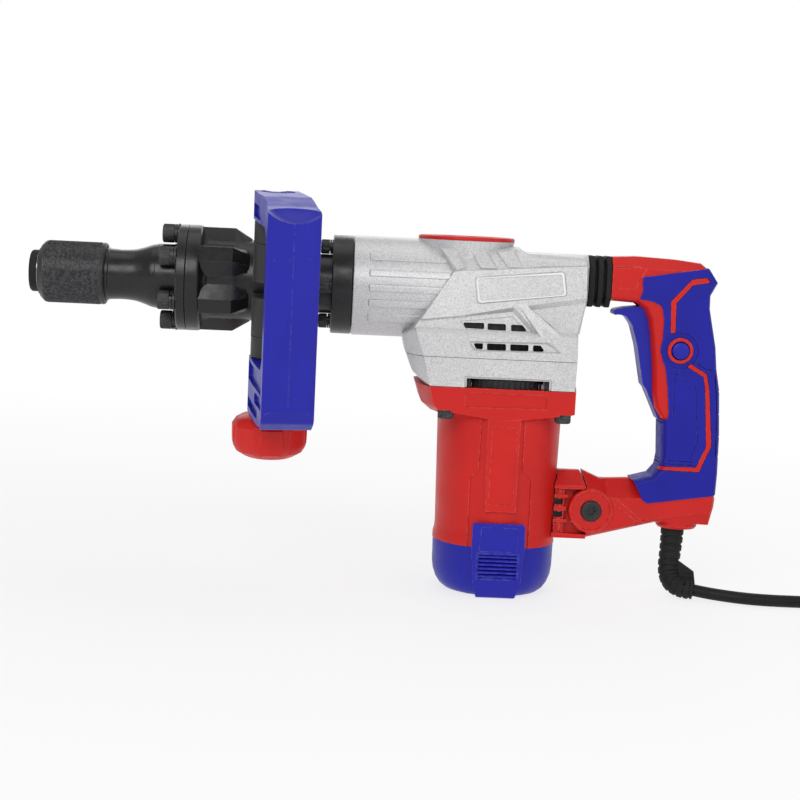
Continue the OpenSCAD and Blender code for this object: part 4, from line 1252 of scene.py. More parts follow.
def make_motor_housing():
    """The red motor housing with its flange, its side panels and their blank beds."""
    outer = solid(motor_tube(0))
    zone = side_prism(beside_motor(MIDDLE_ZONE), 20, 60)
    zone = cut(zone, solid(motor_tube(0.8)))
    body = cut(outer, zone)
    plan = [(276.3, 43.9), (267.6, 26), (375.4, 43.9), (377.4, 26), (380.5, 4)]
    top = [(x, y, -64.15) for x, y in plan]
    middle_ring = [(279.0, 43.9, -76.2), (271.6, 26, -76.2), (375.3, 43.9, -79.4), (377, 26, -79.4),
                   (380, 4, -79.4), (282.6, 43.6, -79.9), (278, 26, -81.4)]
    foot = [(MOTOR_X + 43 * math.sin(a), 43 * math.cos(a), -85.8) for a in
            [math.radians(t) for t in range(-80, 81, 10)]]
    flange = solid(hull(both_sides(top + middle_ring + foot)))
    body = joined(body, flange, side_prism(beside_motor(PANEL), 36, PANEL_Y))
    tools = [side_prism(rounded(beside_motor(INNER_PANEL), 0.6), PANEL_Y - 0.6, 60)]
    name_bed = [(300.4, -67.2), (356.0, -67.2), (356.0, -76.6), (300.6, -77.3)]
    tools.append(side_prism(rounded(name_bed, 0.5), 43.0, 60))
    tab_bed = [(-18.3, -180), (-18.3, -156, 2.6), (18.3, -156, 2.6), (18.6, -180)]
    tools.append(side_prism(rounded(beside_motor(tab_bed), 0), 40.6, 60))
    tools.append(spun([(-180, 0), (-180, 39.65), (-60, 39.65), (-60, 0)], "Z", MOTOR_AXIS))
    for x in (288, 368):
        for y in (-38, 38):
            tools.append(spun([(-98, 0), (-98, 6.4), (-80, 6.4), (-80, 3.1), (-60, 3.1), (-60, 0)], "Z",
                              (x, y), steps=40))
    body = cut(body, *tools)
    piece(body, "motor_housing_shell", "hammer", RED, ("motor_housing",), 0.5, 2)


def make_motor_bolts():
    """The four screws that hold the motor flange from below."""
    upright = Matrix.Rotation(-math.pi / 2, 4, "Y")
    bolts = []
    for x in (288, 368):
        for y in (-38, 38):
            bolts.append(moved(socket_screw(5.4, -86, 5.9, 3, -60, 5),
                               Matrix.Translation((x, y, 0)) @ upright))
    piece(solid(together(*bolts)), "motor_flange_bolts", "hammer", BLACK_OXIDE,
          ("motor_housing_bolts",), 0)


def make_fan_shroud():
    """The curved dark wall with ribs that shows in the window above the motor's flange, and black end plates on
    the window's side walls that are painted shade.
    """
    parts = []
    for side in (-1, 1):
        def arc(r, angles, side=side):
            return [(MOTOR_X + r * math.sin(math.radians(a)),
                     side * r * math.cos(math.radians(a))) for a in angles]
        span_angles = list(range(-37, 38, 4))
        parts.append(extruded(arc(41, span_angles) + arc(39.6, span_angles[::-1]), "Z", -64, -58.6))
        for a in range(-35, 36, 5):
            parts.append(extruded(arc(42.2, (a - 0.7, a + 0.7)) + arc(40.5, (a + 0.7, a - 0.7)), "Z", -63.9,
                                  -59.2))
    # Black end plates on the window's side walls: painted shade over the silver casting there.
    for side in (-1, 1):
        for x in (302.2, 354.6):
            low_y, high_y = sorted((side * 33, side * 42.6))
            parts.append(extruded([(x, low_y), (x + 1.4, low_y), (x + 1.4, high_y), (x, high_y)], "Z", -63.9,
                                  -58.6))
    piece(solid(together(*parts)), "fan_shroud_and_shade_plates", "hammer", BLACK, edge=0)


def louvre_boards(first_z, count, pitch, x0, x1):
    """Slanted boards across an opening, the outer edge of each one hiding the gap below it."""
    boards = []
    for i in range(count):
        z = first_z - i * pitch
        outline = [(-43.1, z - 1.7), (-43.1, z - 0.7), (-42.5, z - 0.1), (-39.2, z + 1.1), (-39.2, z - 0.1)]
        boards.append(extruded(outline, "X", x0, x1))
    return boards


def make_end_cap():
    """The blue cap under the motor; its louvres are a piece of their own."""
    stations = [(-173.85, 42.4), (-190, 42.2), (-196, 41.4), (-201.5, 39.4), (-205.6, 36.6), (-208.2, 33.2),
                (-209, 30.6)]
    body = solid(loft([facet_ring(radius, z) for z, radius in stations]))
    tab = rounded(beside_motor(TAB), 0)
    front = hull([(MOTOR_X + x, -y, z) for x, y, z in [
        (-17.6, 42.9, -173.9), (17.8, 42.9, -173.9), (-16.6, 43.4, -175.5), (16.8, 43.4, -175.5),
        (-16.6, 43.4, -195.4), (16.8, 43.4, -195.4), (-15.4, 41.6, -201.5), (15.6, 41.6, -201.5),
        (-13.4, 38.2, -208.2), (13.6, 38.2, -208.2), (-12.6, 36.6, -209), (12.8, 36.6, -209),
        (-17.6, 30, -173.9), (17.8, 30, -173.9), (-12, 30, -209), (12, 30, -209)]])
    body = joined(body, both(front), side_prism(tab, 40.9, TAB_Y))
    room = turned([(-194, 0), (-194, 14), (-205, 14), (-205, 31.4), (-199.8, 37.2), (-170, 37.2), (-170, 0)],
                  "Z", MOTOR_AXIS)
    bearing = turned([(-203.1, 0), (-203.1, 11.05), (-190, 11.05), (-190, 0)], "Z", MOTOR_AXIS)
    upper_bed = beside_motor([(-11.8, -159.2), (13.2, -159.2), (12.8, -175.6), (-12.6, -175.6)])
    lower_bed = beside_motor([(-14.2, -176.9), (14.6, -176.9), (14.4, -195.0), (-14.4, -195.0)])
    opening = beside_motor([(-13.0, -177.9), (13.6, -177.9), (13.4, -194.2), (-13.2, -194.2)])
    tools = [solid(room), solid(bearing), side_prism(rounded(upper_bed, 0.8), TAB_Y - 0.5, 60),
             side_prism(rounded(lower_bed, 0.8), TAB_Y - 0.5, 60), side_prism(opening, 35, 60)]
    for x, y in circle(29, 4, MOTOR_AXIS, math.pi / 4):
        tools.append(spun([(-215, 0), (-215, 4.3), (-204, 4.3), (-204, 2.1), (-180, 2.1), (-180, 0)], "Z",
                          (x, y), steps=32))
    body = cut(body, *tools)
    piece(body, "end_cap_shell", "hammer", BLUE, ("end_cap",), 0.5, 2)
    boards = louvre_boards(-178.4, 6, 2.72, MOTOR_X - 13.5, MOTOR_X + 14)
    mirror_boards = [mirrored(b) for b in boards]
    piece(solid(together(*boards, *mirror_boards)), "end_cap_louvres", "hammer", BLUE,
          edge=0.15)


# Rear handle, its bracket, trigger and bellows

RED_OUTLINE = [
    (380, 26.6), (417.3, 28.9), (444.7, 27.9), (461.5, 26.2), (466.6, 22.4), (472.0, 12.5), (467.8, 4),
    (468, -5), (473.6, -31), (475.3, -46.5), (478.2, -62), (479.9, -94), (480.2, -120), (479.8, -131),
    (481.6, -137.5), (481.2, -143), (478, -156.9), (440, -156.2), (370, -174.6), (370, -114.5),
    (400.7, -127.7), (424, -126.4), (436.5, -123.6), (441.4, -117.6), (442.6, -109.4), (441.6, -86),
    (438.0, -80.6), (434.6, -75), (432.8, -66), (431.2, -45), (428.6, -24), (426.6, -13.6), (423.6, -7.4),
    (418, -3.4), (380, -1.6)]
BLUE_OUTLINE = [
    (380, 26.8), (444.7, 28.2), (461.8, 26.5), (467.9, 22.3), (474.1, 13.2), (469.4, 4), (469.5, -5),
    (475.2, -31.3), (476.8, -46.4), (479.8, -61.5), (481.8, -93.6), (482.1, -120), (481.6, -134.8),
    (478, -157), (436, -157), (370, -157), (370, -126.2), (424, -126.0), (435.6, -122.8), (440.2, -117.0),
    (441.4, -109.4), (440.2, -85.5), (435, -75), (432, -24), (426, -5), (380, -2.3)]
COVER_REGION = [
    (420.7, 14.9), (466.6, 22.9), (480, 24), (490, -60), (490, -130), (481.4, -134.6), (433.2, -142.0, 2),
    (429.6, -139.9, 2), (423.4, -127.4, 1), (420.4, -124.9), (420, -118), (434, -100), (434, -83.2),
    (438.4, -83.6, 2), (444.2, -82.8, 3.4), (444.2, -77.7, 3), (442.6, -62.0, 6), (440.4, -48, 4),
    (438.2, -42.8, 4), (435.6, -34.5, 5), (437.0, -26.5, 4), (437.2, -13.9, 3), (435.2, -4.4, 4),
    (428.6, -1.5, 3), (419.4, -0.1, 0.6), (421.3, 5.2, 1)]
UPPER_INLAY = [
    (441.8, -22.8), (440.8, -0.7), (454.8, 15.2), (465.0, 16.7), (468.3, 13.1), (455.8, 10.9), (445.2, -1.8),
    (445.6, -22.7)]
LOWER_INLAY = [
    (454.6, -45.6), (457.5, -43.0), (469.4, -50.1), (471.7, -60.8), (475.7, -99.8), (468.1, -118.9),
    (436, -118.4), (436, -115.6), (465.4, -115.1), (471.4, -101.0), (468.3, -60.9), (466.7, -52.3)]
SWITCH_ROOM = [(437, -1), (464, -1), (465, -20), (469, -50), (474, -96), (473, -118), (464, -124),
               (464, -150), (446, -150), (446, -118), (445, -84), (441, -45), (438, -14)]
ARM_ROOM = [(404, 23), (447, 23), (462, 20), (464, 4), (460, -2), (438, -2), (426, 0), (404, 0)]
TRIGGER_ROOM = [(401, -1.5), (446, -1.5), (450, -40), (450, -88), (436, -88), (400, -14)]


def inset(outline, amount):
    """An outline moved in by an amount along its corners' bisectors."""
    count = len(outline)
    points = [Vector(p[:2]) for p in outline]
    area = sum(points[i - 1].cross(points[i]) for i in range(count))
    turn = 1 if area > 0 else -1
    moved_points = []
    for i, here in enumerate(points):
        a = (here - points[i - 1]).normalized()
        b = (points[(i + 1) % count] - here).normalized()
        normal_a, normal_b = Vector((-a.y, a.x)) * turn, Vector((-b.y, b.x)) * turn
        middle_normal = (normal_a + normal_b).normalized()
        length = amount / max(0.5, middle_normal.dot(normal_a))
        moved_points.append(tuple(here + middle_normal * length))
    return moved_points


PILLOW = [(8.0, 0), (11.6, 0.5), (14.4, 1.7), (15.6, 2.9), (16.0, 4.0)]


def pillow(outline, extra=0.0):
    """A solid over an outline whose sides slope in towards its faces."""
    levels = [(y + extra, by) for y, by in PILLOW]
    levels = [(-y, by) for y, by in reversed(levels)] + levels
    return loft([[(x, y, z) for x, z in inset(outline, by)] for y, by in levels])


def puck(radius, y0, y1, centre):
    """A disc across the object, between two Y stations."""
    return turned([(y0, 0), (y0, radius), (y1, radius), (y1, 0)], "Y", centre, steps=64)


def handle_body():
    """The red handle before it is split into its halves."""
    body = solid(pillow(RED_OUTLINE))
    roof = both(extruded([(-8.4, 28.8), (-16.8, 19.6), (-30, 19.6), (-30, 50), (-8.4, 50)], "X", 395, 480))
    wedges = [
        both(hull([(x, y, z) for x, ridge, foot in ends for y, z in
                   ((-2.4, ridge), (-16.2, foot), (-30, foot), (-30, -100), (-2.4, -100))]))
        for ends in (((384, -118.4, -131.2), (405.4, -127.4, -140.3)),
                     ((405.2, -127.4, -140.3), (436, -124.6, -138.6)))]
    below = both(hull([
        (424.8, -16.05, -154.9), (486, -16.05, -145.2), (424.8, -13.4, -159), (486, -10.6, -159),
        (424.8, -30, -159), (486, -30, -159), (424.8, -30, -154.9), (486, -30, -145.2)]))
    stripe = [(405.7, -139.8), (410.8, -139.6), (431.8, -155.6), (425.8, -154.6)]
    raised_stripe = both(relief(lambda p: 16.0, grown(stripe, 0.4), stripe, 0.45))
    fronts = [
        block([(350, -185), (391.6, -185), (391.0, -133.6), (387.6, -121.4), (384, -100), (350, -100)],
              "Y", -40, 40),
        block([(350, -40), (399.85, -40), (399.85, 60), (350, 60)], "Y", -40, 40)]
    body = cut(body, roof, *wedges, below, *fronts)
    dial = [(0, 16.7), (13.0, 16.7), (13.5, 17.7), (14.9, 17.7), (15.5, 17.0), (15.5, -17.0), (14.9, -17.7),
            (13.5, -17.7), (13.0, -16.7), (0, -16.7)]
    rim = turned([(y, r) for r, y in dial], "Y", PIVOT_AXIS, steps=96)
    collar = turned([(-150, 0), (-150, 14.4), (-158.6, 14.4), (-160.2, 13.2), (-160.2, 0)], "Z", (457.3, 0),
                    steps=64)
    panel = [(405, 21), (424, 22.4), (416, 6.5), (405, 6)]
    recess = both(relief(lambda p: 16.0, panel, grown(panel, -0.7), -0.45))
    arm_lines = [both(extruded([(402.5, 20.6), (419, 21.6), (419, 22.2), (402.5, 21.2)], "Y", -30, -14.5))]
    body = cut(body, recess, *arm_lines)
    body = joined(body, solid(rim), solid(collar), raised_stripe)
    rooms = [
        solid(puck(12.6, -8.8, 8.8, PIVOT_AXIS)),
        block([(374, -8.8), (PIVOT.x, -8.8), (PIVOT.x, 8.8), (374, 8.8)], "Z", -160, -138),
        block(ARM_ROOM, "Y", -12.5, 12.5), block(SWITCH_ROOM, "Y", -12.5, 12.5),
        block(TRIGGER_ROOM, "Y", -9.4, 9.4),
        solid(puck(4.06, -30, 30, PIVOT_AXIS)), solid(puck(8.2, -30, -16.4, PIVOT_AXIS)),
        spun([(-175, 0), (-175, 8.8), (-149, 8.8), (-149, 0)], "Z", (455, 0)),
        solid(puck(6.6, -30, -11, BUTTON_AXIS))]
    overmould = block(rounded(COVER_REGION, 0.4, 4), "Y", -40, 40)
    overmould = cut(overmould, solid(cover_core()))
    return cut(body, overmould, *rooms)


def cover_core():
    """What the soft cover is moulded over."""
    return pillow(inset(RED_OUTLINE, 1.6), -1.6)


SHELL_SCREWS = [(410, 11), (459, 17), (412, -146), (436, -151), (472, -150)]


def make_handle_shells():
    """The two red halves of the rear handle, and their screws."""
    body = handle_body()
    boss = turned([(-17.9, 6.7), (-17.9, 8.3), (-17.4, 8.9), (-13.7, 8.9), (-13.7, 6.7)], "Y",
                  BUTTON_AXIS, steps=64, looped=True)
    body = joined(body, solid(boss))
    keep = {}
    for side, name in ((-1, "left"), (1, "right")):
        half = body.copy()
        half.data = body.data.copy()
        bpy.context.scene.collection.objects.link(half)
        low, high = sorted((side * 0.06, side * 40))
        half_space = block([(370, -180), (500, -180), (500, 40), (370, 40)], "Y", low, high)
        keep[name] = common(half, half_space)
    bpy.data.objects.remove(body)
    sinks = [solid(puck(3.4, 13.2, 30, place)) for place in SHELL_SCREWS]
    keep["right"] = cut(keep["right"], *sinks)
    piece(keep["left"], "handle_half_left", "rear_handle", RED, ("handle_shell_left",), 0.5)
    piece(keep["right"], "handle_half_right", "rear_handle", RED, ("handle_shell_right",),
          0.5)
    heads = [cross_screw("Y", place, 13.3, 3.0, 1.5) for place in SHELL_SCREWS]
    screws = heads[0]
    screws = joined(screws, *heads[1:])
    piece(screws, "handle_half_screws", "rear_handle", BLACK_OXIDE, ("handle_screws",), 0.15)


PAST_THE_HANDLE = 30


def groove(points, width, deep_from):
    """A narrow cut along a line of (x, z) points, on both faces of the handle."""
    cuts = []
    for (x0, z0), (x1, z1) in zip(points, points[1:]):
        along = Vector((x1 - x0, z1 - z0)).normalized()
        across = Vector((-along.y, along.x)) * width / 2
        ends = Vector((x0, z0)) - along * width / 2, Vector((x1, z1)) + along * width / 2
        outline = [tuple(ends[0] + across), tuple(ends[1] + across), tuple(ends[1] - across),
                   tuple(ends[0] - across)]
        cuts.append(both(extruded(outline, "Y", -PAST_THE_HANDLE, -deep_from)))
    return cuts


def make_grip_cover():
    """The soft blue cover of the grip, and the red inlays in its sides."""
    cover = solid(pillow(BLUE_OUTLINE, 1.0))
    region = block(rounded(COVER_REGION, 0.4, 4), "Y", -40, 40)
    cover = common(cover, region)
    core = solid(cover_core())
    well = puck(13, -16.0, -30, BUTTON_AXIS)
    through = puck(8.95, -9, -30, BUTTON_AXIS)
    lines = groove([(457.5, -39.5), (467.9, -46.8), (484, -47.6)], 0.8, 15.9)
    lines += groove([(475.0, -50.5), (477.9, -78), (478.6, -107)], 0.7, 14.0)
    lines += groove([(447, -50), (447.5, -82)], 0.5, 16.4)
    lines += groove([(447, -50), (462, -60), (465.5, -98), (461, -110)], 0.5, 16.4)
    bands = []
    for x, z in ((479.8, -62.0), (480.8, -77.9), (481.8, -93.6), (482.0, -107.4)):
        bands.append(block([(x - 1.1, z - 0.6), (490, z - 1.4), (490, z + 1.4), (x - 1.1, z + 0.6)], "Y",
                           -40, 40))
    for z in (-85.4, -111.2, -113.6):
        bands.append(block([(430, z - 0.5), (441.6, z - 0.5), (441.6, z + 0.5), (430, z + 0.5)], "Y",
                           -40, 40))
    for z in (-111.2, -113.6):
        bands += groove([(438, z), (463, z - 0.4)], 0.8, 16.2)
    beds = [side_prism(rounded(outline, 0.6, 3), 10, 40) for outline in (UPPER_INLAY, LOWER_INLAY)]
    cover = cut(cover, core, solid(well), solid(through), *beds, *lines, *bands)
    piece(cover, "grip_overmould", "rear_handle", SOFT_BLUE, ("grip_cover",), 0.5, 2)
    for name, outline in (("upper_inlays", UPPER_INLAY), ("lower_inlays", LOWER_INLAY)):
        strip = block(rounded(inset(outline, 0.35), 0.5, 3), "Y", -40, 40)
        strip = common(strip, solid(pillow(BLUE_OUTLINE, 0.95)))
        strip = cut(strip, solid(cover_core()), block([(380, -9), (500, -9), (500, 9), (380, 9)], "Z",
                                                      -180, 60))
        piece(strip, name, "rear_handle", RED, edge=0.25)


def make_trigger():
    """The trigger lever with its hub, bored for its pin."""
    outline = rounded([
        (402.8, -12.4, 1.5), (403.4, -8.4, 2), (412, -6.4, 8), (424, -5.2, 6), (433.3, -14), (436.5, -45),
        (440.3, -76.5), (441, -84), (438.4, -83.8, 1), (435.2, -77.0, 4), (428.4, -62.5, 2),
        (426.2, -60.0, 2), (424.6, -52, 8), (420.8, -33, 20), (416.4, -18.6, 10), (411.6, -12.4, 5),
        (406.4, -11.8, 3)], 2, 4)
    shape = extruded(outline, "Y", -9, 9)
    hub = puck(3.4, -8.8, 8.8, (441, -80))
    body = joined(solid(shape), solid(hub))
    pin = joint_at("trigger_squeeze")
    body = cut(body, solid(puck(1.56, -20, 20, (pin.x, pin.z))))
    piece(body, "trigger_lever", "trigger", BLUE, ("trigger",), 1.5, 4)


def make_lock_button():
    """The lock button's round cap."""
    face = -20.0
    profile = [(-12.6, 0), (-12.6, 3), (-13.2, 3), (-13.2, 6.1), (face + 1.6, 6.1), (face + 0.7, 5.7),
               (face + 0.2, 4.8), (face, 3), (face - 0.05, 0)]
    button = turned(profile, "Y", BUTTON_AXIS, steps=64)
    piece(solid(button), "lock_button_cap", "lock_button", BLUE, ("lock_button",), 0.2)


def make_pivot():
    """The pivot's screw with its hexagon socket, and the lock nut."""
    axis = PIVOT_AXIS
    head = spun([(-19.0, 0), (-19.0, 5.6), (-18.7, 6.6), (-18.0, 7.2), (-16.6, 7.3), (-16.6, 4), (21, 4),
                 (21, 0)], "Y", axis, steps=64)
    socket = extruded(circle(3.4, 6, axis), "Y", -25, -15.6)
    dish = turned([(-19.4, 0), (-19.4, 4.8), (-18.2, 4.2), (-18.2, 0)], "Y", axis, steps=48)
    head = cut(head, solid(socket), solid(dish))
    piece(head, "pivot_screw", "hammer", BLACK_OXIDE, ("pivot_bolt",), 0.25)
    nut = spun([(17.1, 4.05), (17.1, 8.4), (17.9, 8.4), (18, 4.05)], "Y", axis, steps=48, looped=True)
    hexagon = loft([[(x, y, z) for x, z in circle(r, 6, axis, 0.3)] for y, r in
                    ((17.8, 7.4), (22, 7.4), (22.6, 6.7))])
    nut = joined(nut, cut(solid(hexagon), solid(puck(4.02, 10, 30, axis))))
    piece(nut, "pivot_lock_nut", "hammer", STEEL, ("pivot_nut",), 0.3)


def make_bracket():
    """The fork that carries the handle's lower pivot, with black plates at its slots' floors as painted shade."""
    top = hull(both_sides([
        (362, 3, -122.6), (386.4, 3, -122.6), (362, 15.9, -131.9), (389.6, 15.9, -131.9),
        (362, 15.9, -134.2), (390.2, 15.9, -134.2), (362, 13, -134.2), (389.4, 13, -134.2), (362, 3, -126),
        (385.4, 3, -126)]))
    hollow = hull(both_sides([
        (359, 3, -126.6), (377, 3, -126.6), (359, 12.6, -133.4), (377, 12.6, -133.4), (359, 12.6, -140),
        (377, 12.6, -140)]))
    body = cut(solid(top), solid(hollow))
    bottom = extruded([(362, -165.2), (391.2, -166.2), (391.2, -168.9), (362, -168.9)], "Y", -15.9, 15.9)
    wall = extruded([(362, -166), (375.4, -166), (375.4, -131), (362, -131)], "Y", -12.6, 12.6)
    web = extruded([(362, -147.0), (376.6, -147.0), (376.6, -149.8), (362, -149.8)], "Y", -14.6, 14.6)
    parts = [solid(bottom), solid(wall), solid(web)]
    for z in (-139.6, -157.0):
        parts.append(block([(362, z - 1), (377.6, z - 1), (377.6, z + 1), (362, z + 1)], "Y", -14.6, 14.6))
    parts.append(block([(371, -164), (373, -164), (373, -134), (371, -134)], "Y", -14, 14))
    body = joined(body, *parts)
    filler = block([(374, -165.8), (389, -166), (389, -131), (374, -131)], "Y", -8.5, 8.5)
    body = joined(body, cut(filler, solid(puck(16.0, -12, 12, PIVOT_AXIS))))
    tongue = block([(374, -157.6), (PIVOT.x, -159.5), (PIVOT.x, -138.5), (374, -140.4)], "Y", -8.5, 8.5)
    body = joined(body, tongue, solid(puck(11, -8.5, 8.5, PIVOT_AXIS)))
    slots = [
        both(extruded([(368, z - 4.2), (374.6, z - 4.2), (374.6, z), (368, z)], "Y", -30, -9.5))
        for z in (-141.7, -150.6)]
    tube = spun([(-176, 0), (-176, 42.4), (-100, 43.4), (-100, 0)], "Z", MOTOR_AXIS)
    shell_room = [both(puck(16.0, -20, -8.5, PIVOT_AXIS)),
                  solid(puck(4.06, -30, 30, PIVOT_AXIS))]
    body = cut(body, tube, *slots, *shell_room)
    piece(body, "handle_fork", "hammer", RED, ("handle_bracket",), 0.4, 2)
    # Black plates at the slots' floors: painted shade where the shaded red recess is.
    dark = [extruded([(367.6, z - 4.6), (375, z - 4.6), (375, z + 0.4), (367.6, z + 0.4)], "Y", -9.9, -9.3)
            for z in (-141.7, -150.6)]
    piece(solid(together(*[mirrored(d) for d in dark], *dark)), "fork_slot_shade_plates", "hammer",
          BLACK, edge=0)


def octagon(x, by):
    """The bellows' section, drawn in by an amount."""
    y, low, high, corner = 15.7 - by, -7.4 + by, 28.0 - by, 7.2
    pairs = [(y, low + corner), (y, high - corner), (y - corner, high), (corner - y, high),
             (-y, high - corner), (-y, low + corner), (corner - y, low), (y - corner, low)]
    return [(x, a, b) for a, b in pairs]


def make_bellows():
    """The folded boot between the hammer and the rear handle."""
    folds = [
        (383.5, 2.0), (384.0, 0.3), (384.6, 0), (387.4, 0), (388.0, 0.5), (388.6, 2.8), (389.4, 2.8),
        (390.0, 0.5), (390.6, 0), (393.2, 0), (393.8, 0.5), (394.4, 2.8), (395.2, 2.8), (395.8, 0.5),
        (396.4, 0), (399.2, 0), (399.8, 0.8)]
    outer = [octagon(x, by) for x, by in folds]
    inner = [octagon(x, 4.4) for x in (399.8, 391.6, 383.5)]
    bellows = solid(loft(outer + inner, looped=True))
    bellows.name = "bellows_boot"
    bellows.data.name = "bellows_boot"
    bellows.data.materials.append(RUBBER)
    soften(bellows, 0.35, 2)
    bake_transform(bellows)
    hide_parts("bellows")


RELIEF_ROUTE = [
    (455, 0, -156), (455, 0, -163), (454.8, 0, -171), (454.3, -0.4, -179), (453.6, -1.6, -187),
    (453.6, -4.4, -193.6), (455.4, -8.8, -198.4), (459.6, -12.8, -201), (464.4, -15.2, -202),
    (469, -16, -202.2)]


def make_strain_relief():
    """A ribbed sleeve that turns the cord back, with a stiffening fin behind its bend."""
    line = smooth_line(RELIEF_ROUTE, 10)
    count = len(line) - 1
    radii = []
    for i in range(count + 1):
        share = i / count
        radius = 8.3 - 1.9 * share
        fold = (share * 13) % 1
        inside = 0.14 < share < 0.95 and fold < 0.3
        radii.append(radius - (0.8 if inside else 0))
    radii[-1] = 4.4
    fin = hull([
        (457.8, -4.4, -182.5), (457.8, 1.6, -182.5), (470.6, -7.8, -191.4), (471.6, -2.8, -191.4),
        (471.6, -10.4, -200.8), (472.6, -5.4, -200.8), (457, -9.5, -200.2), (456.8, -2.6, -200.2)])
    sleeve = joined(solid(loft(ring_tube(line, radii, 36))), solid(fin))
    cuts = []
    for i in range(4):
        z = -188.6 - i * 3.1
        cuts.append(block([(461.5, z + 0.5), (476, z - 0.7), (476, z - 1.5), (461.5, z - 0.3)], "Y",
                          -20, -6.2 - i * 0.9))
    sleeve = cut(sleeve, *cuts)
    piece(sleeve, "cord_relief", "rear_handle", RUBBER, ("strain_relief",), 0.25, 2)


# Side handle: clamp, bolt, loop and knob

BARREL_Y = 42
LOOP_SIDE = [
    (14, 65.2, 6), (-40, 65.4, 14), (-66, 61.6, 14), (-91.8, 59.8, 0.8),
    (-91.9, -64, 8), (-86.4, -74, 6), (-77, -80, 10), (-45, -83.9, 30), (14, -83.9, 5), (14, -46.4, 2),
    (-50, -46.4, 5), (-58.5, -38, 5), (-58.5, 38, 5), (-50, 46.4, 5), (14, 46.4, 2)]
LOOP_PLAN = [
    (-14.8, 14.5, 8), (14.8, 14.5, 8), (16, -20, 40), (17.4, -52, 30), (17.4, -88.8, 1.6), (12.4, -90.9, 10),
    (0, -91.9, 30), (-12.4, -90.9, 10), (-16.6, -89.0, 1.6), (-13.6, -56, 30), (-15, -20, 40)]


def make_side_clamp():
    """The grey clamp of the side handle, slotted between its two jaws."""
    barrel = spun([(-14.9, 0), (-14.9, 33), (-13.9, 34), (13.9, 34), (14.9, 33), (14.9, 0)], "X",
                  (BARREL_Y, 0), steps=128)
    jaws = []
    for side in (-1, 1):
        jaws.append(solid(hull([
            (x, y, side * z) for x in (-14.6, 14.6) for y, z in
            ((-4, 5.2), (-4, 31.6), (8, 31.6), (22, 29), (30, 10), (22, 5.2))])))
        post = [(side * 5.2, 0), (side * 5.2, 13.9), (side * 6, 14.7), (side * 30.6, 14.7),
                (side * 31.1, 14.0), (side * 31.7, 14.7), (side * 45.3, 14.7), (side * 46.0, 14.0),
                (side * 46.0, 0)]
        jaws.append(spun(post, "Z", steps=72))
    body = joined(barrel, *jaws)
    tools = [
        spun([(-20, 0), (-20, 27.97), (20, 27.97), (20, 0)], "X", (BARREL_Y, 0), steps=128),
        block([(-40, -4.9), (20, -4.9), (20, 4.9), (-40, 4.9)], "X", -40, 40),
        spun([(-60, 0), (-60, 4.15), (60, 4.15), (60, 0)], "Z", steps=32)]
    for side in (-1, 1):
        for x in (-9.5, 0, 9.5):
            tools.append(solid(hull([
                (x + dx, y, side * z) for dx in (-3.4, 3.4) for y, z in
                ((24, 33), (24, 40), (44, 36.4), (44, 31.2), (34, 32))])))
        tools.append(block([(60, side * 3), (90, side * 3), (90, side * 3.6), (60, side * 3.6)], "X", -20,
                           20))
    body = cut(body, *tools)
    body = moved_object(body, CLAMP)
    piece(body, "side_handle_clamp", "side_clamp", GREY, ("side_clamp",), 0.5, 3)


def moved_object(obj, matrix):
    """Moves a mesh by a matrix given in millimetres."""
    shift = matrix.copy()
    shift.translation = matrix.translation * MM
    obj.data.transform(shift)
    return obj


def make_side_bolt():
    """The steel bolt through the clamp, with a square neck under its head."""
    head = turned([(64, 0), (64, 6.2), (63.5, 7.2), (60.4, 7.5), (59.5, 7.3), (59.5, 4), (-103.6, 4),
                   (-104.2, 3.4), (-104.2, 0)], "Z", steps=64)
    square = extruded([(-5.6, -5.6), (5.6, -5.6), (5.6, 5.6), (-5.6, 5.6)], "Z", 54.6, 59.8)
    body = joined(solid(head), solid(square))
    piece(moved_object(body, CLAMP), "side_handle_stud", "side_clamp", STEEL, ("side_handle_bolt",),
          0.3)


def make_side_loop():
    """The swinging grip: its side view and plan view in one, with pockets and moulding marks."""
    side = block(rounded(LOOP_SIDE, 4, 8), "X", -18, 18)
    plan = block(rounded(LOOP_PLAN, 4, 8), "Z", -90, 80)
    body = common(side, plan)
    bolt = [
        spun([(-100, 0), (-100, 4.35), (80, 4.35), (80, 0)], "Z", steps=40),
        spun([(59.4, 0), (59.4, 8.2), (80, 8.2), (80, 0)], "Z", steps=48)]
    dish = spun([(64.4, 0), (64.4, 11.2), (66, 12.6), (80, 12.6), (80, 0)], "Z", steps=64)
    pockets = []
    for low, high, y0, y1 in ((48.4, 57.4, -32, 8), (-61.4, -49, -66, 8), (-71.4, -64.2, -74, -30),
                              (-80.2, -73.4, -44, 8)):
        pocket = rounded([(y0, low), (y1, low), (y1, high), (y0, high)], 2.2, 5)
        pockets.append(block(pocket, "X", -30, -12.2))
    for low, high, y0, y1 in ((48.4, 58.2, -8, 9), (-80, -49, -13, 9)):
        pocket = rounded([(y0, low), (y1, low), (y1, high), (y0, high)], 2.2, 5)
        pockets.append(block(pocket, "X", 12.6, 30))
    body = cut(body, *bolt, dish, *pockets)
    scoop = [(81 - 28 * math.cos(math.radians(a)), 28 * math.sin(math.radians(a))) for a in range(0, 91, 3)]
    scoop = solid(moved(turned(scoop + [(90, 28), (90, 0)], "Z", steps=96),
                        Matrix.Translation((1, -93.4, 0))))
    body = cut(body, scoop)
    seam = block([(-0.14, -95), (0.14, -95), (0.14, -91.62), (-0.14, -91.62)], "Z", -62, 60)
    marks = [
        spun([(-95, 0), (-95, 0.85), (y + 0.22, 0.85), (y + 0.22, 0)], "Y", (x, 30.5), steps=20)
        for x, y in ((-12.2, -90.85), (-2.0, -91.85), (10.5, -91.0))]
    body = cut(body, seam, *marks)
    piece(moved_object(body, LOOP), "side_handle_grip", "side_loop", BLUE,
          ("side_handle_loop",), 1.4, 4)


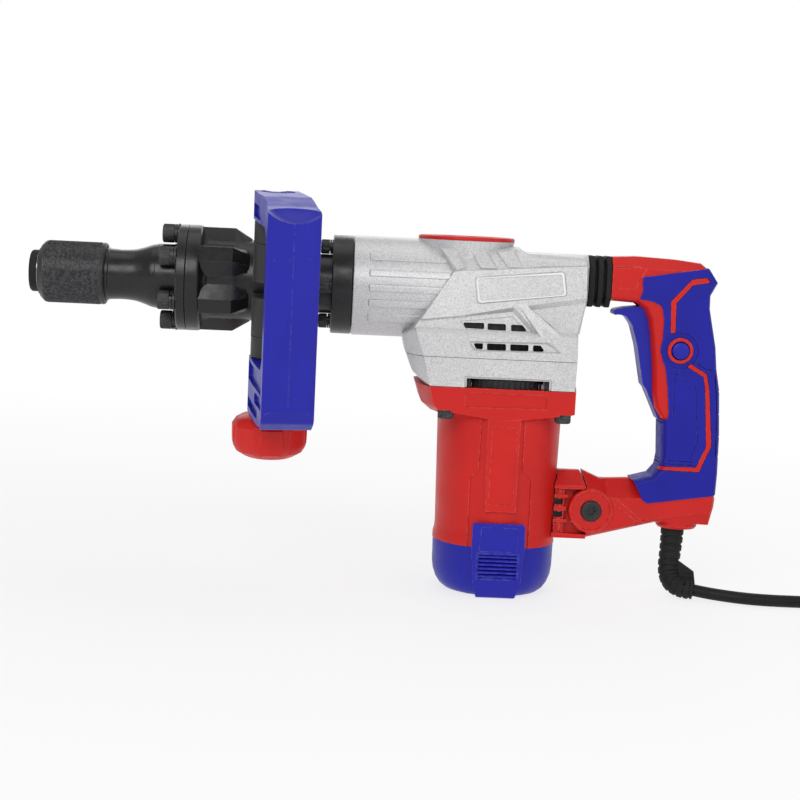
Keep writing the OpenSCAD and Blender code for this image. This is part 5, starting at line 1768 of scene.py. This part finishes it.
def make_side_knob():
    """The clamping knob below the loop: a domed shoulder over eight lobes with scoops between them."""
    stations = [(-84.5, 12.4, 0.0), (-85.2, 14.2, 0.0), (-86.4, 19.8, 0.2), (-88.6, 23.6, 0.6),
                (-92.4, 26.3, 1.0), (-98, 26.5, 1.3), (-103, 26.3, 1.3), (-106, 25.4, 1.0),
                (-109.6, 23.2, 0.6), (-112.8, 18.0, 0.2), (-113.8, 15.6, 0.0)]
    rings = []
    for z, radius, flat in stations:
        ring = []
        for k in range(96):
            angle = 2 * math.pi * k / 96
            fold = (angle + 0.3) % (math.pi / 4) - math.pi / 8
            r = radius - flat * (1 - abs(fold) / (math.pi / 8))
            ring.append((r * math.cos(angle), r * math.sin(angle), z))
        rings.append(ring)
    body = solid(loft(rings))
    tools = [spun([(-120, 0), (-120, 4.1), (-80, 4.1), (-80, 0)], "Z", steps=40),
             spun([(-120, 0), (-120, 9.4), (-108.6, 8.6), (-108.6, 0)], "Z", steps=48)]
    for k in range(8):
        place = Matrix.Rotation(math.pi / 4 * k - 0.3, 4, "Z") @ Matrix.Translation((30.2, 0, 0))
        tools.append(solid(moved(turned([(-112, 0), (-112, 4.2), (-90.4, 5.4), (-88.6, 3.2), (-88, 0)], "Z",
                                        steps=40), place)))
    body = cut(body, *tools)
    piece(moved_object(body, CLAMP), "side_handle_wheel", "side_knob", RED,
          ("side_handle_knob",), 0.6, 3)
    insert = turned([(-112.4, 4.15), (-112.4, 7.4), (-104, 7.4), (-104, 4.15)], "Z", steps=6, looped=True)
    piece(moved_object(solid(insert), CLAMP), "wheel_insert", "side_knob", STEEL, edge=0.3)


# Springs

def make_spring(node, radius, wire, turns):
    """A coil along X in a node's place."""
    low, high = span(node)
    start, length = low.x + wire, high.x - low.x - 2 * wire
    y, z = (low.y + high.y) / 2, (low.z + high.z) / 2
    steps = 22 * turns
    route = []
    for i in range(steps + 1):
        angle = 2 * math.pi * turns * i / steps
        route.append(Vector((start + length * i / steps, y + radius * math.sin(angle),
                             z + radius * math.cos(angle))))
    obj = solid(loft(ring_tube(route, [wire] * len(route), 12)))
    obj.name = obj.data.name = node + "_coil"
    obj.data.materials.append(STEEL)
    soften(obj, 0)
    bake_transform(obj)
    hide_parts(node)


def make_springs():
    """The three coil springs, each between the two bodies it joins."""
    make_spring("sleeve_spring", 17.3, 0.6, 4)
    make_spring("handle_spring", 8.5, 1.1, 5)
    make_spring("trigger_spring", 3, 0.4, 7)


make_camera()
make_world()
area_light("key", (-0.4, -1.9, 1.1), (0.24, 0, -0.03), (1.5, 1.0), 23)
area_light("fill", (1.5, -1.5, 0.5), (0.3, 0, -0.08), (1.2, 1.2), 5.5)
area_light("top", (0.25, 0.2, 1.6), (0.25, 0, 0), (1.6, 1.0), 4.5)
area_light("back", (0.3, 1.6, 0.7), (0.25, 0, 0), (1.6, 0.8), 6)

make_floor()
dress_cad_nodes()
cord = make_cord()
mains_plug, plug_pins = make_plug()

make_front_ring()
make_chuck_sleeve()
make_nose_housing()
make_bolts()
make_cylinder_case()
make_crank_housing()
make_badge_rims()
make_air_guides()
make_inner_housing()
make_top_cover()
make_motor_housing()
make_motor_bolts()
make_fan_shroud()
make_end_cap()
make_bracket()
make_pivot()
make_bellows()
make_handle_shells()
make_grip_cover()
make_trigger()
make_lock_button()
make_strain_relief()
make_side_clamp()
make_side_bolt()
make_side_loop()
make_side_knob()
make_springs()
